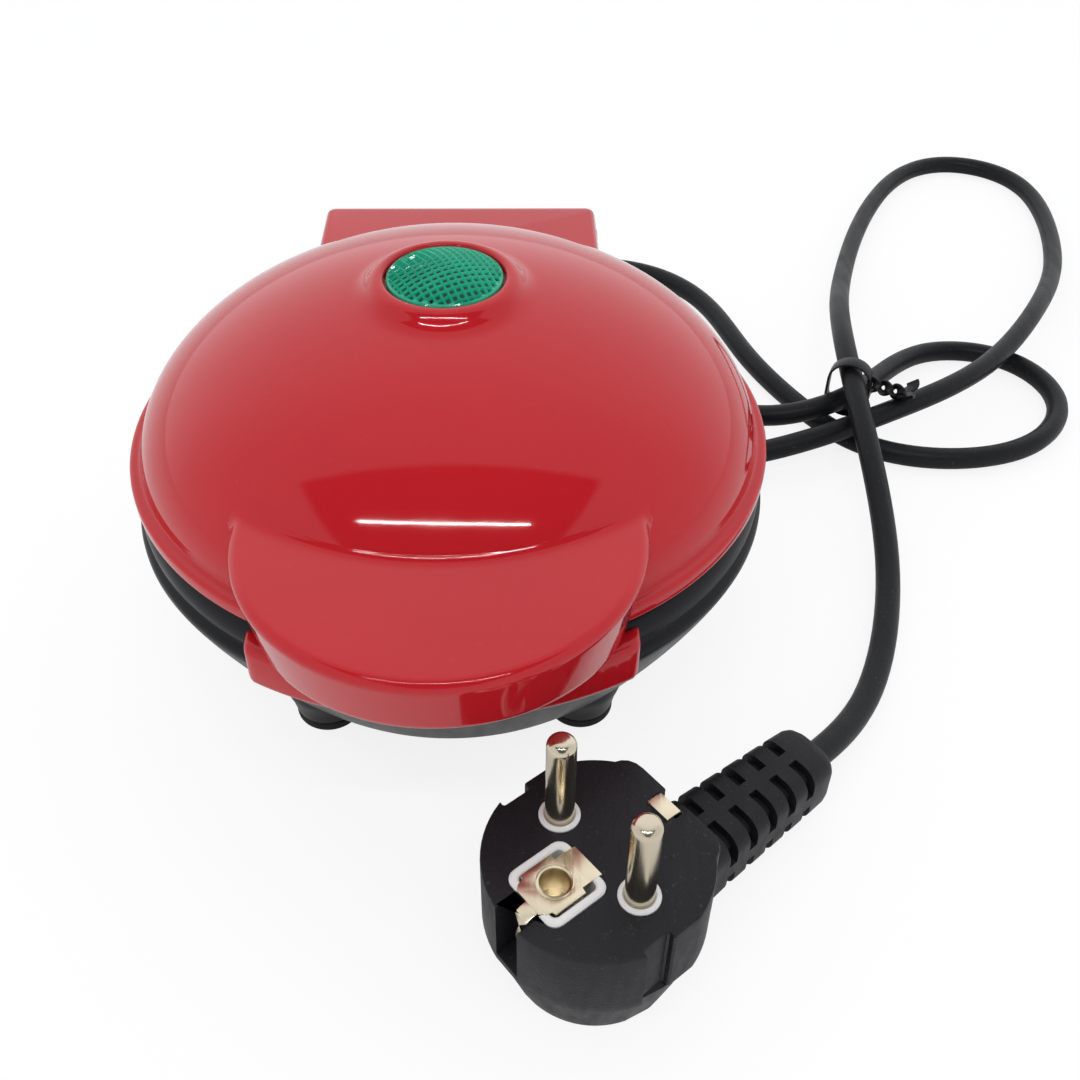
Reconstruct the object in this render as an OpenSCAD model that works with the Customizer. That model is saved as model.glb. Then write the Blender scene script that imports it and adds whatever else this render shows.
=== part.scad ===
// Countertop taiyaki maker: a round clamshell cooker with a domed lid on a rear hinge,
// a pair of fish-shaped cooking plates and a mains lead that lies beside it.
// The origin is on the table, under the middle of the cooker. +Y points to the hinge.

/* [Body] */
// Outer radius of the lip at the bottom of the lid
lip_r = 62; // [56:0.5:76]
// Height of the lid's lip above the table
lip_z = 45; // [42:0.5:56]
// Height of the lip's upright band
lip_h = 3.2; // [2:0.2:5]
// How far the dome starts inside the lip
lip_step = 2.4; // [1:0.2:4]
// Height of the dome above the lip's band
dome_h = 31; // [28:1:38]
// Roundness of the dome: 2 is an ellipse, less is more pointed
dome_power = 1.83; // [1.6:0.01:2.2]
// How far the bowl stands out past the lip where it is widest
bowl_out = 0.4; // [0:0.1:2]
// How far below the lip the bowl is widest
bowl_drop = 10.5; // [9:0.5:14]
// Radius of the bowl's flat bottom
bowl_floor_r = 45; // [44:0.5:50]
// Fullness of the bowl's side: 1 is a cone, 2 is an ellipse
bowl_power = 1.12; // [1:0.01:1.6]
// Height of the bowl's flat bottom above the table
bowl_floor_z = 4.6; // [4:0.2:8]
// How far the bowl's rim lies inside the lip
rim_in = 1.4; // [1:0.1:2.4]
// How far the bowl's rim lies below the lip
rim_drop = 2.4; // [1:0.2:4]
// Wall thickness of the moulded shells
wall = 2.2; // [1.6:0.1:3]

/* [Handle] */
// How far the lid handle reaches in front of the lip
handle_reach = 18; // [12:0.5:24]
// Radius of the lid handle's rounded front
handle_r = 34.6; // [28:0.2:42]
// Height of the handle's flat top above the lip's lower edge
handle_rise = 14.6; // [13:0.2:18]
// Height of the lid handle, top to bottom
handle_h = 11.6; // [9:0.2:13]
// How far the handle's side leans in towards the bottom
handle_draft = 2.4; // [0:0.2:4]
// Radius of the rounding along the handle's top edge
handle_round = 1.8; // [1:0.2:4]
// Width of the base's grip pad
grip_w = 67; // [50:1:82]
// How far the grip pad stands out past the lip
grip_out = 3.3; // [2.6:0.1:6]
// Height of the grip pad
grip_h = 9.2; // [6:0.2:10]

/* [Hinge] */
// Distance of the hinge axis behind the lip
hinge_back = 8; // [7.5:0.5:12]
// Height of the hinge axis above the lip's lower edge
hinge_up = 0.5; // [0:0.5:3]
// Radius of the hinge pins
pin_r = 2; // [1.5:0.1:2.5]
// Half the width of the hinge cover
cover_half_w = 32.6; // [26:0.2:40]
// How far the hinge cover reaches behind the hinge axis
cover_back = 10; // [9.5:0.1:14]
// Height of the cover's flat top above the hinge axis
cover_rise = 8.8; // [8.6:0.1:12]
// Thickness of the cover's two ears
ear_t = 4; // [3:0.5:6]
// Thickness of the base's two hinge lugs
lug_t = 9; // [6:0.5:12]

/* [Plates] */
// Height of the parting plane between the cooking plates, below the lip's lower edge
part_drop = 1.6; // [1:0.1:1.8]
// Gap left between the closed plates
plate_gap = 0.4; // [0.4:0.1:1]
// Thickness of the cooking plates' flange
plate_t = 3; // [2:0.2:4]
// Length of the fish from nose to tail
fish_l = 92; // [76:1:94]
// Height of the fish's body
fish_w = 48; // [40:1:50]
// Depth of each half of the fish
fish_depth = 10.4; // [8:0.2:11]
// Wall of the fish pan
pan_wall = 2.2; // [1.6:0.1:3]

/* [Heating] */
// Radius of the tubular heating elements
element_r = 3.2; // [2.5:0.1:3.6]
// Bend radius of the heating elements
element_bend_r = 12; // [10:0.1:15]
// Thickness of the heat shields
shield_t = 0.8; // [0.5:0.1:1.2]
// Radius of the heat shields
shield_r = 40.4; // [40:0.2:42]

/* [Lamp] */
// Radius of the green lens
lens_r = 10.7; // [9:0.1:13]
// How far the lens bulges above its edge
lens_bulge = 2.4; // [1:0.1:4]
// Width of the raised ring round the lens
bezel_w = 2.1; // [1.4:0.1:4]
// Height of the raised ring above the dome
bezel_h = 1.4; // [0.5:0.1:3]

/* [Feet] */
// Sideways distance of the feet from the middle
foot_x = 25.3; // [22:0.1:30]
// Front and back distance of the feet from the middle
foot_y = 33; // [28:0.5:34]
// Radius of the feet
foot_r = 6.6; // [5:0.2:8]
// Thickness of the rubber pads
foot_t = 2.6; // [2:0.2:4]

/* [Plug] */
// Radius of the plug's face
plug_r = 18.6; // [18:0.1:20]
// Height of the plug's face above the table
plug_face_z = 28.4; // [26:0.2:34]
// Distance between the two plug pins
plug_pitch = 19; // [19:0.1:19.2]
// Radius of the plug pins
plug_pin_r = 2.4; // [2.3:0.05:2.5]
// Length of the plug pins above the face
plug_pin_l = 19; // [18:0.5:20]
// Direction of the plug's lead, turned from +X
plug_turn = 38; // [38:1:38]

/* [Hidden] */

// Number of facets used to draw round shapes
round_fn = 128;
small_fn = 48;
// Clearance between pieces that touch in one body, and between the two bodies
seat_gap = 0.2;
run_gap = 0.4;
// Radial clearance of a pin that turns, and of one that is pressed in
run_fit = 0.05;
press_fit = 0.02;
// A little more than nothing, for cuts that must pass a face
over = 1;

// Lid
dome_r = lip_r - lip_step;
dome_z = lip_z + lip_h;
front_y = -lip_r - handle_reach;
handle_y = front_y + handle_r;
handle_wall = 2.4;
handle_top_z = lip_z + handle_rise;
bezel_r = lens_r + bezel_w;

// Bowl
bowl_r = lip_r + bowl_out;
bowl_wide_z = lip_z - bowl_drop;
rim_r = lip_r - rim_in;
rim_z = lip_z - rim_drop;
grip_r = lip_r + grip_out;
grip_z = rim_z - grip_h;

// Hinge
hinge_y = lip_r + hinge_back;
hinge_z = lip_z + hinge_up;
back_y = hinge_y + cover_back;
cover_top_z = hinge_z + cover_rise;
barrel_r = pin_r + 4;
ear_out = cover_half_w;
ear_in = ear_out - ear_t;
lug_out = ear_in - run_gap;
lug_in = lug_out - lug_t;
pin_end = ear_out - 0.8;
pin_start = lug_in + 1.5;
cover_round = 4;
cover_roof_t = 2.4;
cover_front_y = lip_r - 14;
cover_wall_z = hinge_z + 4;

// Plates: they fill the frames, which fill the lid; the lower one's top and the upper one's bottom
frame_gap = 0.3;
frame_wall = 1.3;
frame_r = dome_r - wall - frame_gap;
plate_r = frame_r - frame_wall - seat_gap;
part_z = lip_z - part_drop;
lower_z = part_z - plate_gap / 2;
upper_z = part_z + plate_gap / 2;
lower_pan_z = lower_z - fish_depth - pan_wall;
upper_pan_z = upper_z + fish_depth + pan_wall;

// Frames that carry the plates
ledge_r = plate_r - 3;
ledge_h = 3;
frame_lip = 1.2;
post_r = 4;
post_ring_r = 38;
post_turn = 75;
pilot_r = 1.3;
screw_r = 1.5;
screw_head_r = 2.9;
screw_head_h = 1.6;
screw_hole_r = screw_r + 0.2;
lid_screw_depth = 5;
element_pin_x = fish_l * 0.16 + 6;
lamp_z = dome_z + dome_h - 8.5;

// Heat shields stand on collars round the posts
collar_r = post_r + 1.6;
shield_rim_h = 5;
shield_gap = 3.9;

// Element clamps: a post against the pan, a strip over the element and a nut on a stud
clamp_x = -4;
clamp_drop = 2 * element_r + 2 * seat_gap;
clamp_strip_t = 1.2;
stud_r = 1.6;
nut_h = 1.8;
lower_shield_z = lower_pan_z - seat_gap / 2 - clamp_drop - clamp_strip_t - nut_h - 0.6 - shield_gap - shield_t;
upper_shield_z = upper_pan_z + seat_gap / 2 + clamp_drop + clamp_strip_t + seat_gap + shield_t;
boss_r = post_r + 0.8;
lid_boss_z = lip_z + 15;

// Lead, its gland and the exit at the back
cord_d = 5.4;
cord_r = cord_d / 2;
gland_z = 13;
gland_bore_r = 4.6;
gland_boss_r = 8;
gland_boss_y = lip_r - 5;
gland_in_y = gland_boss_y - 12;
gland_l = 26;
gland_end_y = gland_boss_y + gland_l + 1;
gland_tip_r = 3.7;

// Lead across the hinge: it leaves the bowl, turns into the hinge axis and enters the lid
link_r = 1.4;
link_x = 5;
link_hole_r = link_r + 0.3;
link_base_z = bowl_wide_z + 0.5;
link_lid_z = hinge_z + 4.5;

// Plug
plug_x = 25;
plug_y = -87.6;
relief_l = 34;
relief_start = 20;
relief_z = 8.5;
relief_h = 13.6;
relief_w = 15.6;
relief_end_w = 12.4;

// Route of the lead from the gland to the plug, as the poles of a smooth curve
ROUTE = [
    [0, gland_end_y, gland_z], [-1, 106, 12], [10, 126, 10.5], [31, 131, 7.5], [49, 117, 3.5],
    [54, 77, 3], [72, 54, 6], [94, 55, 11.5], [108, 72, 7], [126, 95, 2.8],
    [152, 91, 2.8], [161, 68, 2.8], [146, 47, 2.8], [121, 42, 2.8], [100, 48, 2.8],
    [88, 65, 2.8], [76, 91, 2.8], [71, 119, 2.8], [55, 138, 2.8], [30, 142, 2.8],
    [10, 130, 2.8], [6, 102, 2.8], [17, 68, 2.8], [44, 41, 2.8], [76, 42, 5.5],
    [109, 53, 11.5], [139, 72, 10], [163, 105, 10], [182, 141, 3], [190, 181, 2.8],
    [185, 204, 2.8], [165, 214, 2.8], [144, 203, 2.8], [124, 166, 2.8], [110, 125, 5.5],
    [99, 85, 18.5], [97, 45, 16.5], [99, 4, 3], [85, -37, 2.8], [67.6, -54.3, 8.5]
];
CORD_STEPS = 2;
CORD_SIDES = 8;

// Where the tie goes round two strands of the lead, how far it is turned, and its size
TIE_AT = [98, 60.5, 13.1];
tie_turn = -24;
tie_t = 0.6;
tie_w = 3.6;
tie_half_w = 5;
tie_half_h = 7.2;

$fn = round_fn;

// Curves

// Height of the dome's outer surface, drawn in by t, at the given share of its radius
function dome_rise(share, t = 0) = (dome_h - t) * pow(1 - pow(share, dome_power), 1 / dome_power);

// Profile of the dome from its foot to its top, drawn in by t
function dome_line(t = 0, steps = 22) =
    [for (i = [0:steps]) let (share = cos(90 * i / steps))
        [(dome_r - t) * share, dome_z + dome_rise(share, t)]];

// Outer radius of the bowl at a share s of the way up from its bottom to its widest place
function bowl_side(s) = bowl_floor_r + (bowl_r - bowl_floor_r) * pow(1 - pow(1 - s, bowl_power), 1 / bowl_power);

// Height at a share s of the way up
function bowl_up(s) = bowl_floor_z + (bowl_wide_z - bowl_floor_z) * s;

// Side of the bowl from the bottom to the widest place, drawn in by t
function bowl_line(t = 0, steps = 12) =
    [for (i = [0:steps]) [bowl_side(i / steps) - t, max(bowl_up(i / steps), bowl_floor_z + t)]];

// Quarter round from angle a to b about a centre
function arc(c, r, a, b, steps = 6) =
    [for (i = [0:steps]) let (q = a + (b - a) * i / steps) [c[0] + r * cos(q), c[1] + r * sin(q)]];

// Outline of the fish seen from above, grown by g on every side: body, then tail
function fish_body(g) =
    let (a = fish_l * 0.42 + g, b = fish_w / 2 + g, c = -fish_l * 0.08)
    [for (i = [0:35]) [c + a * cos(10 * i), b * sin(10 * i) * (1 - 0.12 * cos(10 * i))]];
function fish_tail(g) =
    let (x0 = fish_l * 0.22, x1 = fish_l / 2 + g, y0 = fish_w * 0.1 + g, y1 = fish_w * 0.4 + g)
    [[x0, -y0], [x1 - 9, -y1], [x1 - 3, -y1 + 0.5], [x1, -y1 + 4], [x1 - 4.5 + g, 0],
     [x1, y1 - 4], [x1 - 3, y1 - 0.5], [x1 - 9, y1], [x0, y0]];

// Solids shared by several pieces

module lid_space(t) {
    rotate_extrude()
        polygon(concat([[0, dome_z], [dome_r - t, dome_z]], dome_line(t)));
    translate([0, 0, lip_z - over])
        cylinder(r = dome_r - t, h = lip_h + over + 0.01);
}

module fish(g, h) {
    linear_extrude(h) polygon(fish_body(g));
    linear_extrude(h) polygon(fish_tail(g));
}

module at_posts() {
    for (a = [post_turn, 180 - post_turn, 180 + post_turn, -post_turn])
        rotate([0, 0, a])
            translate([post_ring_r, 0, 0])
                children();
}

module at_feet() {
    for (x = [-foot_x, foot_x], y = [-foot_y, foot_y])
        translate([x, y, 0])
            children();
}

// A bar along X at the hinge axis, from x0 to x1 on the right and the same on the left
module hinge_bars(r, x0, x1) {
    for (side = [-1, 1])
        translate([side > 0 ? x0 : -x1, hinge_y, hinge_z])
            rotate([0, 90, 0])
                cylinder(r = r, h = x1 - x0, $fn = small_fn);
}

// An extrusion along X of an outline drawn in Y and Z
module side_plate(x0, x1, points) {
    translate([x0, 0, 0])
        rotate([90, 0, 90])
            linear_extrude(x1 - x0)
                polygon(points);
}

// A U-shaped tube that lies flat, open towards +X, with a thin terminal in each end
module element(z) {
    x0 = -fish_l * 0.22;
    x1 = fish_l * 0.16;
    translate([x0, 0, z])
        rotate([0, 0, 90])
            rotate_extrude(angle = 180)
                translate([element_bend_r, 0])
                    circle(r = element_r, $fn = 32);
    for (side = [-1, 1])
        translate([x0, side * element_bend_r, z])
            rotate([0, 90, 0]) {
                cylinder(r = element_r, h = x1 - x0, $fn = 32);
                cylinder(r = 1.2, h = x1 - x0 + 6, $fn = 16);
            }
}

// A clamp that holds an element against the pan's face at z0, up 1 or -1, its nut at nut_z
module element_clamp(z0, up, nut_z) {
    span = 2 * element_bend_r + 2 * element_r;
    nut = abs(nut_z - z0);
    translate([0, 0, z0])
        mirror([0, 0, up > 0 ? 0 : 1]) {
            translate([clamp_x - 5, -span / 2, clamp_drop]) cube([10, span, clamp_strip_t]);
            translate([clamp_x, 0, 0]) cylinder(r = 3.4, h = clamp_drop + clamp_strip_t / 2, $fn = small_fn);
            translate([clamp_x, 0, clamp_drop]) cylinder(r = stud_r, h = nut + nut_h + 0.6 - clamp_drop, $fn = 24);
            translate([clamp_x, 0, nut]) cylinder(r = 3, h = nut_h, $fn = 6);
        }
}

// Base

module bowl_outer() {
    groove = 0.9;
    rotate_extrude()
        polygon(concat(
            [[0, bowl_floor_z]],
            bowl_line(),
            [[bowl_r, bowl_wide_z + 1], [bowl_r - groove - 0.5, bowl_wide_z + 2.2],
             [bowl_r - groove, bowl_wide_z + 3.2]],
            arc([rim_r - 2, rim_z - 2], 2, 20, 90),
            [[0, rim_z]]));
}

module bowl_inner() {
    inside = rim_r - wall - 0.3;
    rotate_extrude()
        polygon(concat(
            [[0, bowl_floor_z + wall]],
            [for (p = bowl_line(wall)) [min(p[0], inside), p[1]]],
            [[inside, rim_z + over], [0, rim_z + over]]));
}

// The two lugs that carry the hinge pins: a barrel and an arm down to the bowl's side
module hinge_lugs() {
    for (side = [-1, 1]) {
        x0 = side > 0 ? lug_in : -lug_out;
        translate([x0, hinge_y, hinge_z])
            rotate([0, 90, 0])
                cylinder(r = barrel_r, h = lug_t, $fn = small_fn);
        side_plate(x0, x0 + lug_t, [
            [hinge_y - barrel_r * sin(45), hinge_z + barrel_r * cos(45)],
            [hinge_y + barrel_r * sin(45), hinge_z - barrel_r * cos(45)],
            [hinge_y - 12, bowl_wide_z - 6],
            [bowl_floor_r + 4, bowl_wide_z - 8],
            [bowl_floor_r + 4, rim_z - 3],
            [lip_r - 4, rim_z - 0.4],
            [lip_r + 1, rim_z]
        ]);
    }
}

module base_shell() {
    color("#1b1c1e")
        difference() {
            union() {
                difference() {
                    union() {
                        bowl_outer();
                        hinge_lugs();
                    }
                    bowl_inner();
                }
                // Bosses under the posts, and the stubs of the feet
                at_posts()
                    translate([0, 0, bowl_floor_z + wall - 0.1])
                        cylinder(r = post_r + 1.6, h = 1.5, $fn = small_fn);
                difference() {
                    at_feet()
                        translate([0, 0, foot_t])
                            cylinder(r1 = foot_r, r2 = foot_r + 1.2, h = bowl_up(0.25) - foot_t, $fn = small_fn);
                    translate([0, 0, wall])
                        bowl_inner();
                }
                // Boss that holds the gland
                translate([0, gland_in_y, gland_z])
                    rotate([-90, 0, 0])
                        cylinder(r = gland_boss_r, h = gland_boss_y - gland_in_y, $fn = small_fn);
            }
            hinge_bars(pin_r + press_fit, lug_in - over, lug_out + over);
            // Screw holes with their counterbores
            at_posts() {
                translate([0, 0, bowl_floor_z - over])
                    cylinder(r = screw_hole_r, h = wall + 2 * over + 2, $fn = small_fn);
                translate([0, 0, bowl_floor_z - over])
                    cylinder(r = screw_head_r + 0.3, h = screw_head_h + over, $fn = small_fn);
            }
            // Sockets for the spigots of the pads
            at_feet()
                translate([0, 0, foot_t - over])
                    cylinder(r = foot_r * 0.45 + 0.1, h = 3 + over, $fn = small_fn);
            translate([0, gland_in_y - over, gland_z])
                rotate([-90, 0, 0])
                    cylinder(r = gland_bore_r, h = gland_boss_y - gland_in_y + 2 * over, $fn = small_fn);
            // Hole for the lead across the hinge
            translate([-link_x, rim_r - 8, link_base_z])
                rotate([-90, 0, 0])
                    cylinder(r = link_hole_r, h = 14, $fn = small_fn);
            // Vent slots in the bottom
            for (x = [-24:6:24])
                translate([x - 1, -9, bowl_floor_z - over])
                    cube([2, 18, wall + 2 * over]);
            // Flat seat for the grip pad
            grip_seat();
        }
}

// The space that the grip pad takes out of the bowl's front
module grip_seat() {
    difference() {
        translate([-grip_w / 2 - seat_gap, -grip_r - over, grip_z - seat_gap])
            cube([grip_w + 2 * seat_gap, grip_r - 40, rim_z]);
        translate([0, 0, grip_z - 2 * over])
            cylinder(r = rim_r - seat_gap, h = rim_z);
    }
}

module base_grip() {
    color("#c0151f")
        intersection() {
            difference() {
                translate([0, 0, grip_z])
                    cylinder(r = grip_r, h = rim_z - grip_z);
                translate([0, 0, grip_z - over])
                    cylinder(r = rim_r, h = rim_z);
                // Rounding of the lower edge
                rotate_extrude()
                    polygon(concat([[grip_r + over, grip_z - over], [grip_r - 2, grip_z - over]],
                                   arc([grip_r - 2, grip_z + 2], 2, -90, 0),
                                   [[grip_r + over, grip_z + 2]]));
            }
            translate([-grip_w / 2, -grip_r - over, grip_z])
                cube([grip_w, grip_r - 41, rim_z]);
        }
}

module post(z0, z1) {
    at_posts()
        translate([0, 0, min(z0, z1)])
            cylinder(r = post_r, h = abs(z1 - z0), $fn = small_fn);
}

// Ring that carries a plate: a ledge behind the flange, an edge round it and four posts.
// The flange's far face is at z, and up is 1 where the ring lies above it.
module plate_ring(z, up, edge) {
    translate([0, 0, up > 0 ? z : z - ledge_h])
        difference() {
            cylinder(r = frame_r, h = ledge_h);
            translate([0, 0, -over]) cylinder(r = ledge_r, h = ledge_h + 2 * over);
        }
    translate([0, 0, up > 0 ? z - edge : z - 0.01])
        difference() {
            cylinder(r = frame_r, h = edge + 0.01);
            translate([0, 0, -over]) cylinder(r = plate_r + seat_gap, h = edge + 2 * over);
        }
    // Arms from the ledge to the posts
    at_posts()
        translate([0, -2.5, up > 0 ? z + 0.5 : z - ledge_h])
            cube([ledge_r - post_ring_r + 2, 5, ledge_h - 0.5]);
}

module base_frame() {
    floor_z = bowl_floor_z + wall + 1.4;
    seat = lower_z - plate_t;
    color("#26272a")
        difference() {
            union() {
                plate_ring(seat, -1, plate_t - frame_lip);
                post(floor_z, seat);
                at_posts()
                    translate([0, 0, floor_z])
                        cylinder(r = collar_r, h = lower_shield_z - floor_z, $fn = small_fn);
            }
            at_posts()
                translate([0, 0, floor_z - over])
                    cylinder(r = pilot_r, h = 12 + over, $fn = small_fn);
        }
}

// A plate with its flange's face at z; up is 1 where the pan rises from it
module cooking_plate(z, up) {
    translate([0, 0, z])
        mirror([0, 0, up > 0 ? 0 : 1])
            difference() {
                union() {
                    cylinder(r = plate_r, h = plate_t);
                    fish(pan_wall, fish_depth + pan_wall);
                }
                translate([0, 0, -over])
                    fish(0, fish_depth + over);
            }
}

module lower_cooking_plate() {
    color("#3a3b3d") cooking_plate(lower_z, -1);
}

module lower_heating_element() {
    color("#8d8f92") element(lower_pan_z - seat_gap - element_r);
}

module lower_element_clamp() {
    z0 = lower_pan_z - seat_gap / 2;
    color("#b8babd") element_clamp(z0, -1, z0 - clamp_drop - clamp_strip_t);
}

// A dish with its far face at z, its rim towards the plate, notches round the posts and one hole
module heat_shield(z, up, notch_r, hole_x, hole_r) {
    color("#c4c6c9")
        translate([0, 0, z])
            mirror([0, 0, up > 0 ? 0 : 1])
                difference() {
                    union() {
                        cylinder(r = shield_r, h = shield_t);
                        difference() {
                            cylinder(r = shield_r, h = shield_rim_h);
                            translate([0, 0, -over])
                                cylinder(r = shield_r - shield_t, h = shield_rim_h + 2 * over);
                        }
                    }
                    translate([0, 0, -over])
                        at_posts()
                            cylinder(r = notch_r, h = shield_rim_h + 2 * over, $fn = small_fn);
                    translate([clamp_x, 0, -over])
                        cylinder(r = stud_r + seat_gap, h = shield_t + 2 * over, $fn = small_fn);
                    translate([hole_x, 0, -over])
                        cylinder(r = hole_r, h = shield_t + 2 * over, $fn = small_fn);
                }
}

module lower_heat_shield() {
    heat_shield(lower_shield_z, 1, post_r + seat_gap, 4, 4);
}

module thermostat() {
    x = fish_l * 0.25;
    top = lower_pan_z - seat_gap / 2;
    color("#d9d4c7") {
        translate([x, 0, top - 5])
            cylinder(r = 7, h = 5, $fn = small_fn);
        translate([x - 10, -2.5, top - 1])
            cube([20, 5, 1]);
        for (y = [-3, 3])
            translate([x - 1.5, y - 0.4, top - 10])
                cube([3, 0.8, 5.5]);
    }
}

module thermal_fuse() {
    top = lower_pan_z - seat_gap / 2;
    color("#e8e2cf")
        translate([-fish_l * 0.24, 0, 0]) {
            translate([0, 0, top - 2.2])
                rotate([0, 90, 0])
                    translate([0, 0, -6])
                        cylinder(r = 2.1, h = 12, $fn = 32);
            translate([-2, -2.6, top - 4.9])
                cube([4, 5.2, 4.9]);
        }
}

module terminal_block() {
    z0 = bowl_floor_z + wall;
    color("#e6e2d6")
        difference() {
            translate([-12, 16, z0])
                cube([24, 10, 6.6]);
            for (x = [-7.5, 0, 7.5]) {
                translate([x, 15, z0 + 3.4])
                    rotate([-90, 0, 0])
                        cylinder(r = 1.5, h = 12, $fn = 24);
                translate([x, 21, z0 + 3.4])
                    cylinder(r = 1.4, h = 5, $fn = 24);
            }
        }
}

// The three cores from the gland to the block, two wires up through the shield to the element's
// terminals, and the lead that goes out to the hinge axis on its way to the lid
module base_wiring() {
    z0 = bowl_floor_z + wall + 3.4;
    pin_z = lower_pan_z - seat_gap - element_r;
    pin_x = element_pin_x + 0.3;
    w = element_bend_r;
    color("#7c5a36")
        for (x = [-7.5, 0, 7.5])
            tube([[x * 0.33, gland_in_y - 1.7, gland_z], [x * 0.36, 40, gland_z], [x * 0.4, 33.5, gland_z - 1],
                  [x * 0.9, 29, z0 + 0.2], [x, 26.8, z0], [x, 24, z0]], 1, 8, [1, 0, 0]);
    color("#3e6fa8")
        for (s = [-1, 1])
            tube([[7.5 * s, 18, z0], [7.5 * s, 13, z0], [6.5 * s, 8, z0 + 0.6], [4 + s, 3 * s + 1, z0 + 2],
                  [4, 1.6 * s, lower_shield_z - 1.4], [4.2, 1.6 * s, lower_shield_z + 1.6],
                  [7, 3.5 * s, pin_z - 7.8], [12, 7 * s, pin_z - 6.8], [pin_x - 2, w * s - 0.6 * s, pin_z - 4.8],
                  [pin_x + 3, w * s, pin_z - 2.2], [pin_x + 3.6, w * s, pin_z - 0.4],
                  [pin_x + 2.4, w * s, pin_z], [pin_x, w * s, pin_z]], 1, 8, [-s, 1, 0.2]);
    color("#2b2b2d")
        tube([[-13.3, 21, 12], [-16, 25, 12], [-18, 32, 12], [-17.8, 38.6, 14], [-17, 41.8, 17.5],
              [-13.5, 45.5, 23], [-8.5, 49, link_base_z - 6], [-5.4, rim_r - 7.6, link_base_z - 1],
              [-link_x, rim_r - 3.6, link_base_z], [-link_x, hinge_y - 6.5, link_base_z],
              [-link_x, hinge_y - 3, hinge_z - 8], [-link_x, hinge_y - 1, hinge_z - 3.5], [-link_x + 0.4, hinge_y - 0.2, hinge_z - 0.7],
              [-3, hinge_y, hinge_z], [-seat_gap, hinge_y, hinge_z]], link_r, 10, [0, -0.6, 0.8]);
}

module hinge_pins() {
    color("#c9ccd0") hinge_bars(pin_r, pin_start, pin_end);
}

module foot_pads() {
    color("#141415")
        at_feet() {
            rotate_extrude($fn = small_fn)
                polygon(concat([[0, 0], [foot_r - 1.6, 0]],
                               arc([foot_r - 1.6, 1.6], 1.6, -90, 0, 4),
                               [[foot_r, foot_t - 0.05], [0, foot_t - 0.05]]));
            cylinder(r = foot_r * 0.45, h = foot_t + 2.6, $fn = small_fn);
        }
}

// A screw that enters along +Z from z, head below
module screw(z, l) {
    translate([0, 0, z])
        difference() {
            union() {
                cylinder(r = screw_head_r, h = screw_head_h, $fn = small_fn);
                cylinder(r = pilot_r - press_fit, h = screw_head_h + l, $fn = small_fn);
            }
            for (a = [0, 90])
                rotate([0, 0, a])
                    translate([-1.7, -0.35, -over])
                        cube([3.4, 0.7, over + 0.9]);
        }
}

module base_screws() {
    color("#9a9ca0")
        at_posts() screw(bowl_floor_z - 0.05, 8);
}

module cord_gland() {
    flange = 1.6;
    color("#17181a")
        translate([0, 0, gland_z])
            rotate([-90, 0, 0]) {
                // Neck in the bore, with a flange at each side of the boss
                translate([0, 0, gland_in_y - 1.4])
                    cylinder(r = gland_bore_r + 1.4, h = 1.35, $fn = small_fn);
                translate([0, 0, gland_in_y - 0.1])
                    cylinder(r = gland_bore_r - seat_gap / 2, h = gland_boss_y - gland_in_y + 0.4, $fn = small_fn);
                translate([0, 0, gland_boss_y + 0.05])
                    cylinder(r = gland_bore_r + 2, h = flange, $fn = small_fn);
                // Tapered boot with rings
                translate([0, 0, gland_boss_y + 1])
                    cylinder(r1 = gland_bore_r + 0.9, r2 = gland_tip_r, h = gland_l - 0.15, $fn = small_fn);
                for (i = [0:5])
                    translate([0, 0, gland_boss_y + 4 + i * 3.6])
                        cylinder(r = gland_bore_r + 1.5 - i * 0.26, h = 1.8, $fn = small_fn);
            }
}

// Lead

function pole(i) =
    i < 0 ? 2 * ROUTE[0] - ROUTE[1]
    : i > len(ROUTE) - 1 ? 2 * ROUTE[len(ROUTE) - 1] - ROUTE[len(ROUTE) - 2]
    : ROUTE[i];

// Point of the smooth curve at t of the way through stretch i
function route_at(i, t) =
    (pow(1 - t, 3) * pole(i - 1) + (3 * pow(t, 3) - 6 * t * t + 4) * pole(i)
     + (-3 * pow(t, 3) + 3 * t * t + 3 * t + 1) * pole(i + 1) + pow(t, 3) * pole(i + 2)) / 6;

function unit(v) = v / norm(v);

cord_path = concat(
    [for (i = [0:len(ROUTE) - 2], k = [0:CORD_STEPS - 1]) route_at(i, k / CORD_STEPS)],
    [ROUTE[len(ROUTE) - 1]]);

// Direction of the curve at each of its points
function heading(p, i) = unit(p[min(i + 1, len(p) - 1)] - p[max(i - 1, 0)]);

// One ring of the tube, square to the curve, turned so that a corner is square to side
function ring(p, i, r, sides, side) =
    let (f = heading(p, i), s = unit(cross(side, f)), u = cross(f, s))
    [for (k = [0:sides - 1]) p[i] + r * (cos(360 * k / sides) * s + sin(360 * k / sides) * u)];

module tube(p, r, sides, side) {
    n = len(p);
    points = [for (i = [0:n - 1]) each ring(p, i, r, sides, side)];
    walls = [for (i = [0:n - 2], k = [0:sides - 1])
        let (a = i * sides + k, b = i * sides + (k + 1) % sides)
            each [[a, b + sides, b], [a, a + sides, b + sides]]];
    ends = [for (k = [1:sides - 2])
        each [[0, k, k + 1], [(n - 1) * sides, (n - 1) * sides + k + 1, (n - 1) * sides + k]]];
    polyhedron(points = points, faces = concat(walls, ends));
}

module power_cord() {
    color("#1a1b1d") tube(cord_path, cord_r, CORD_SIDES, [0, 0, 1]);
}

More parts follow.
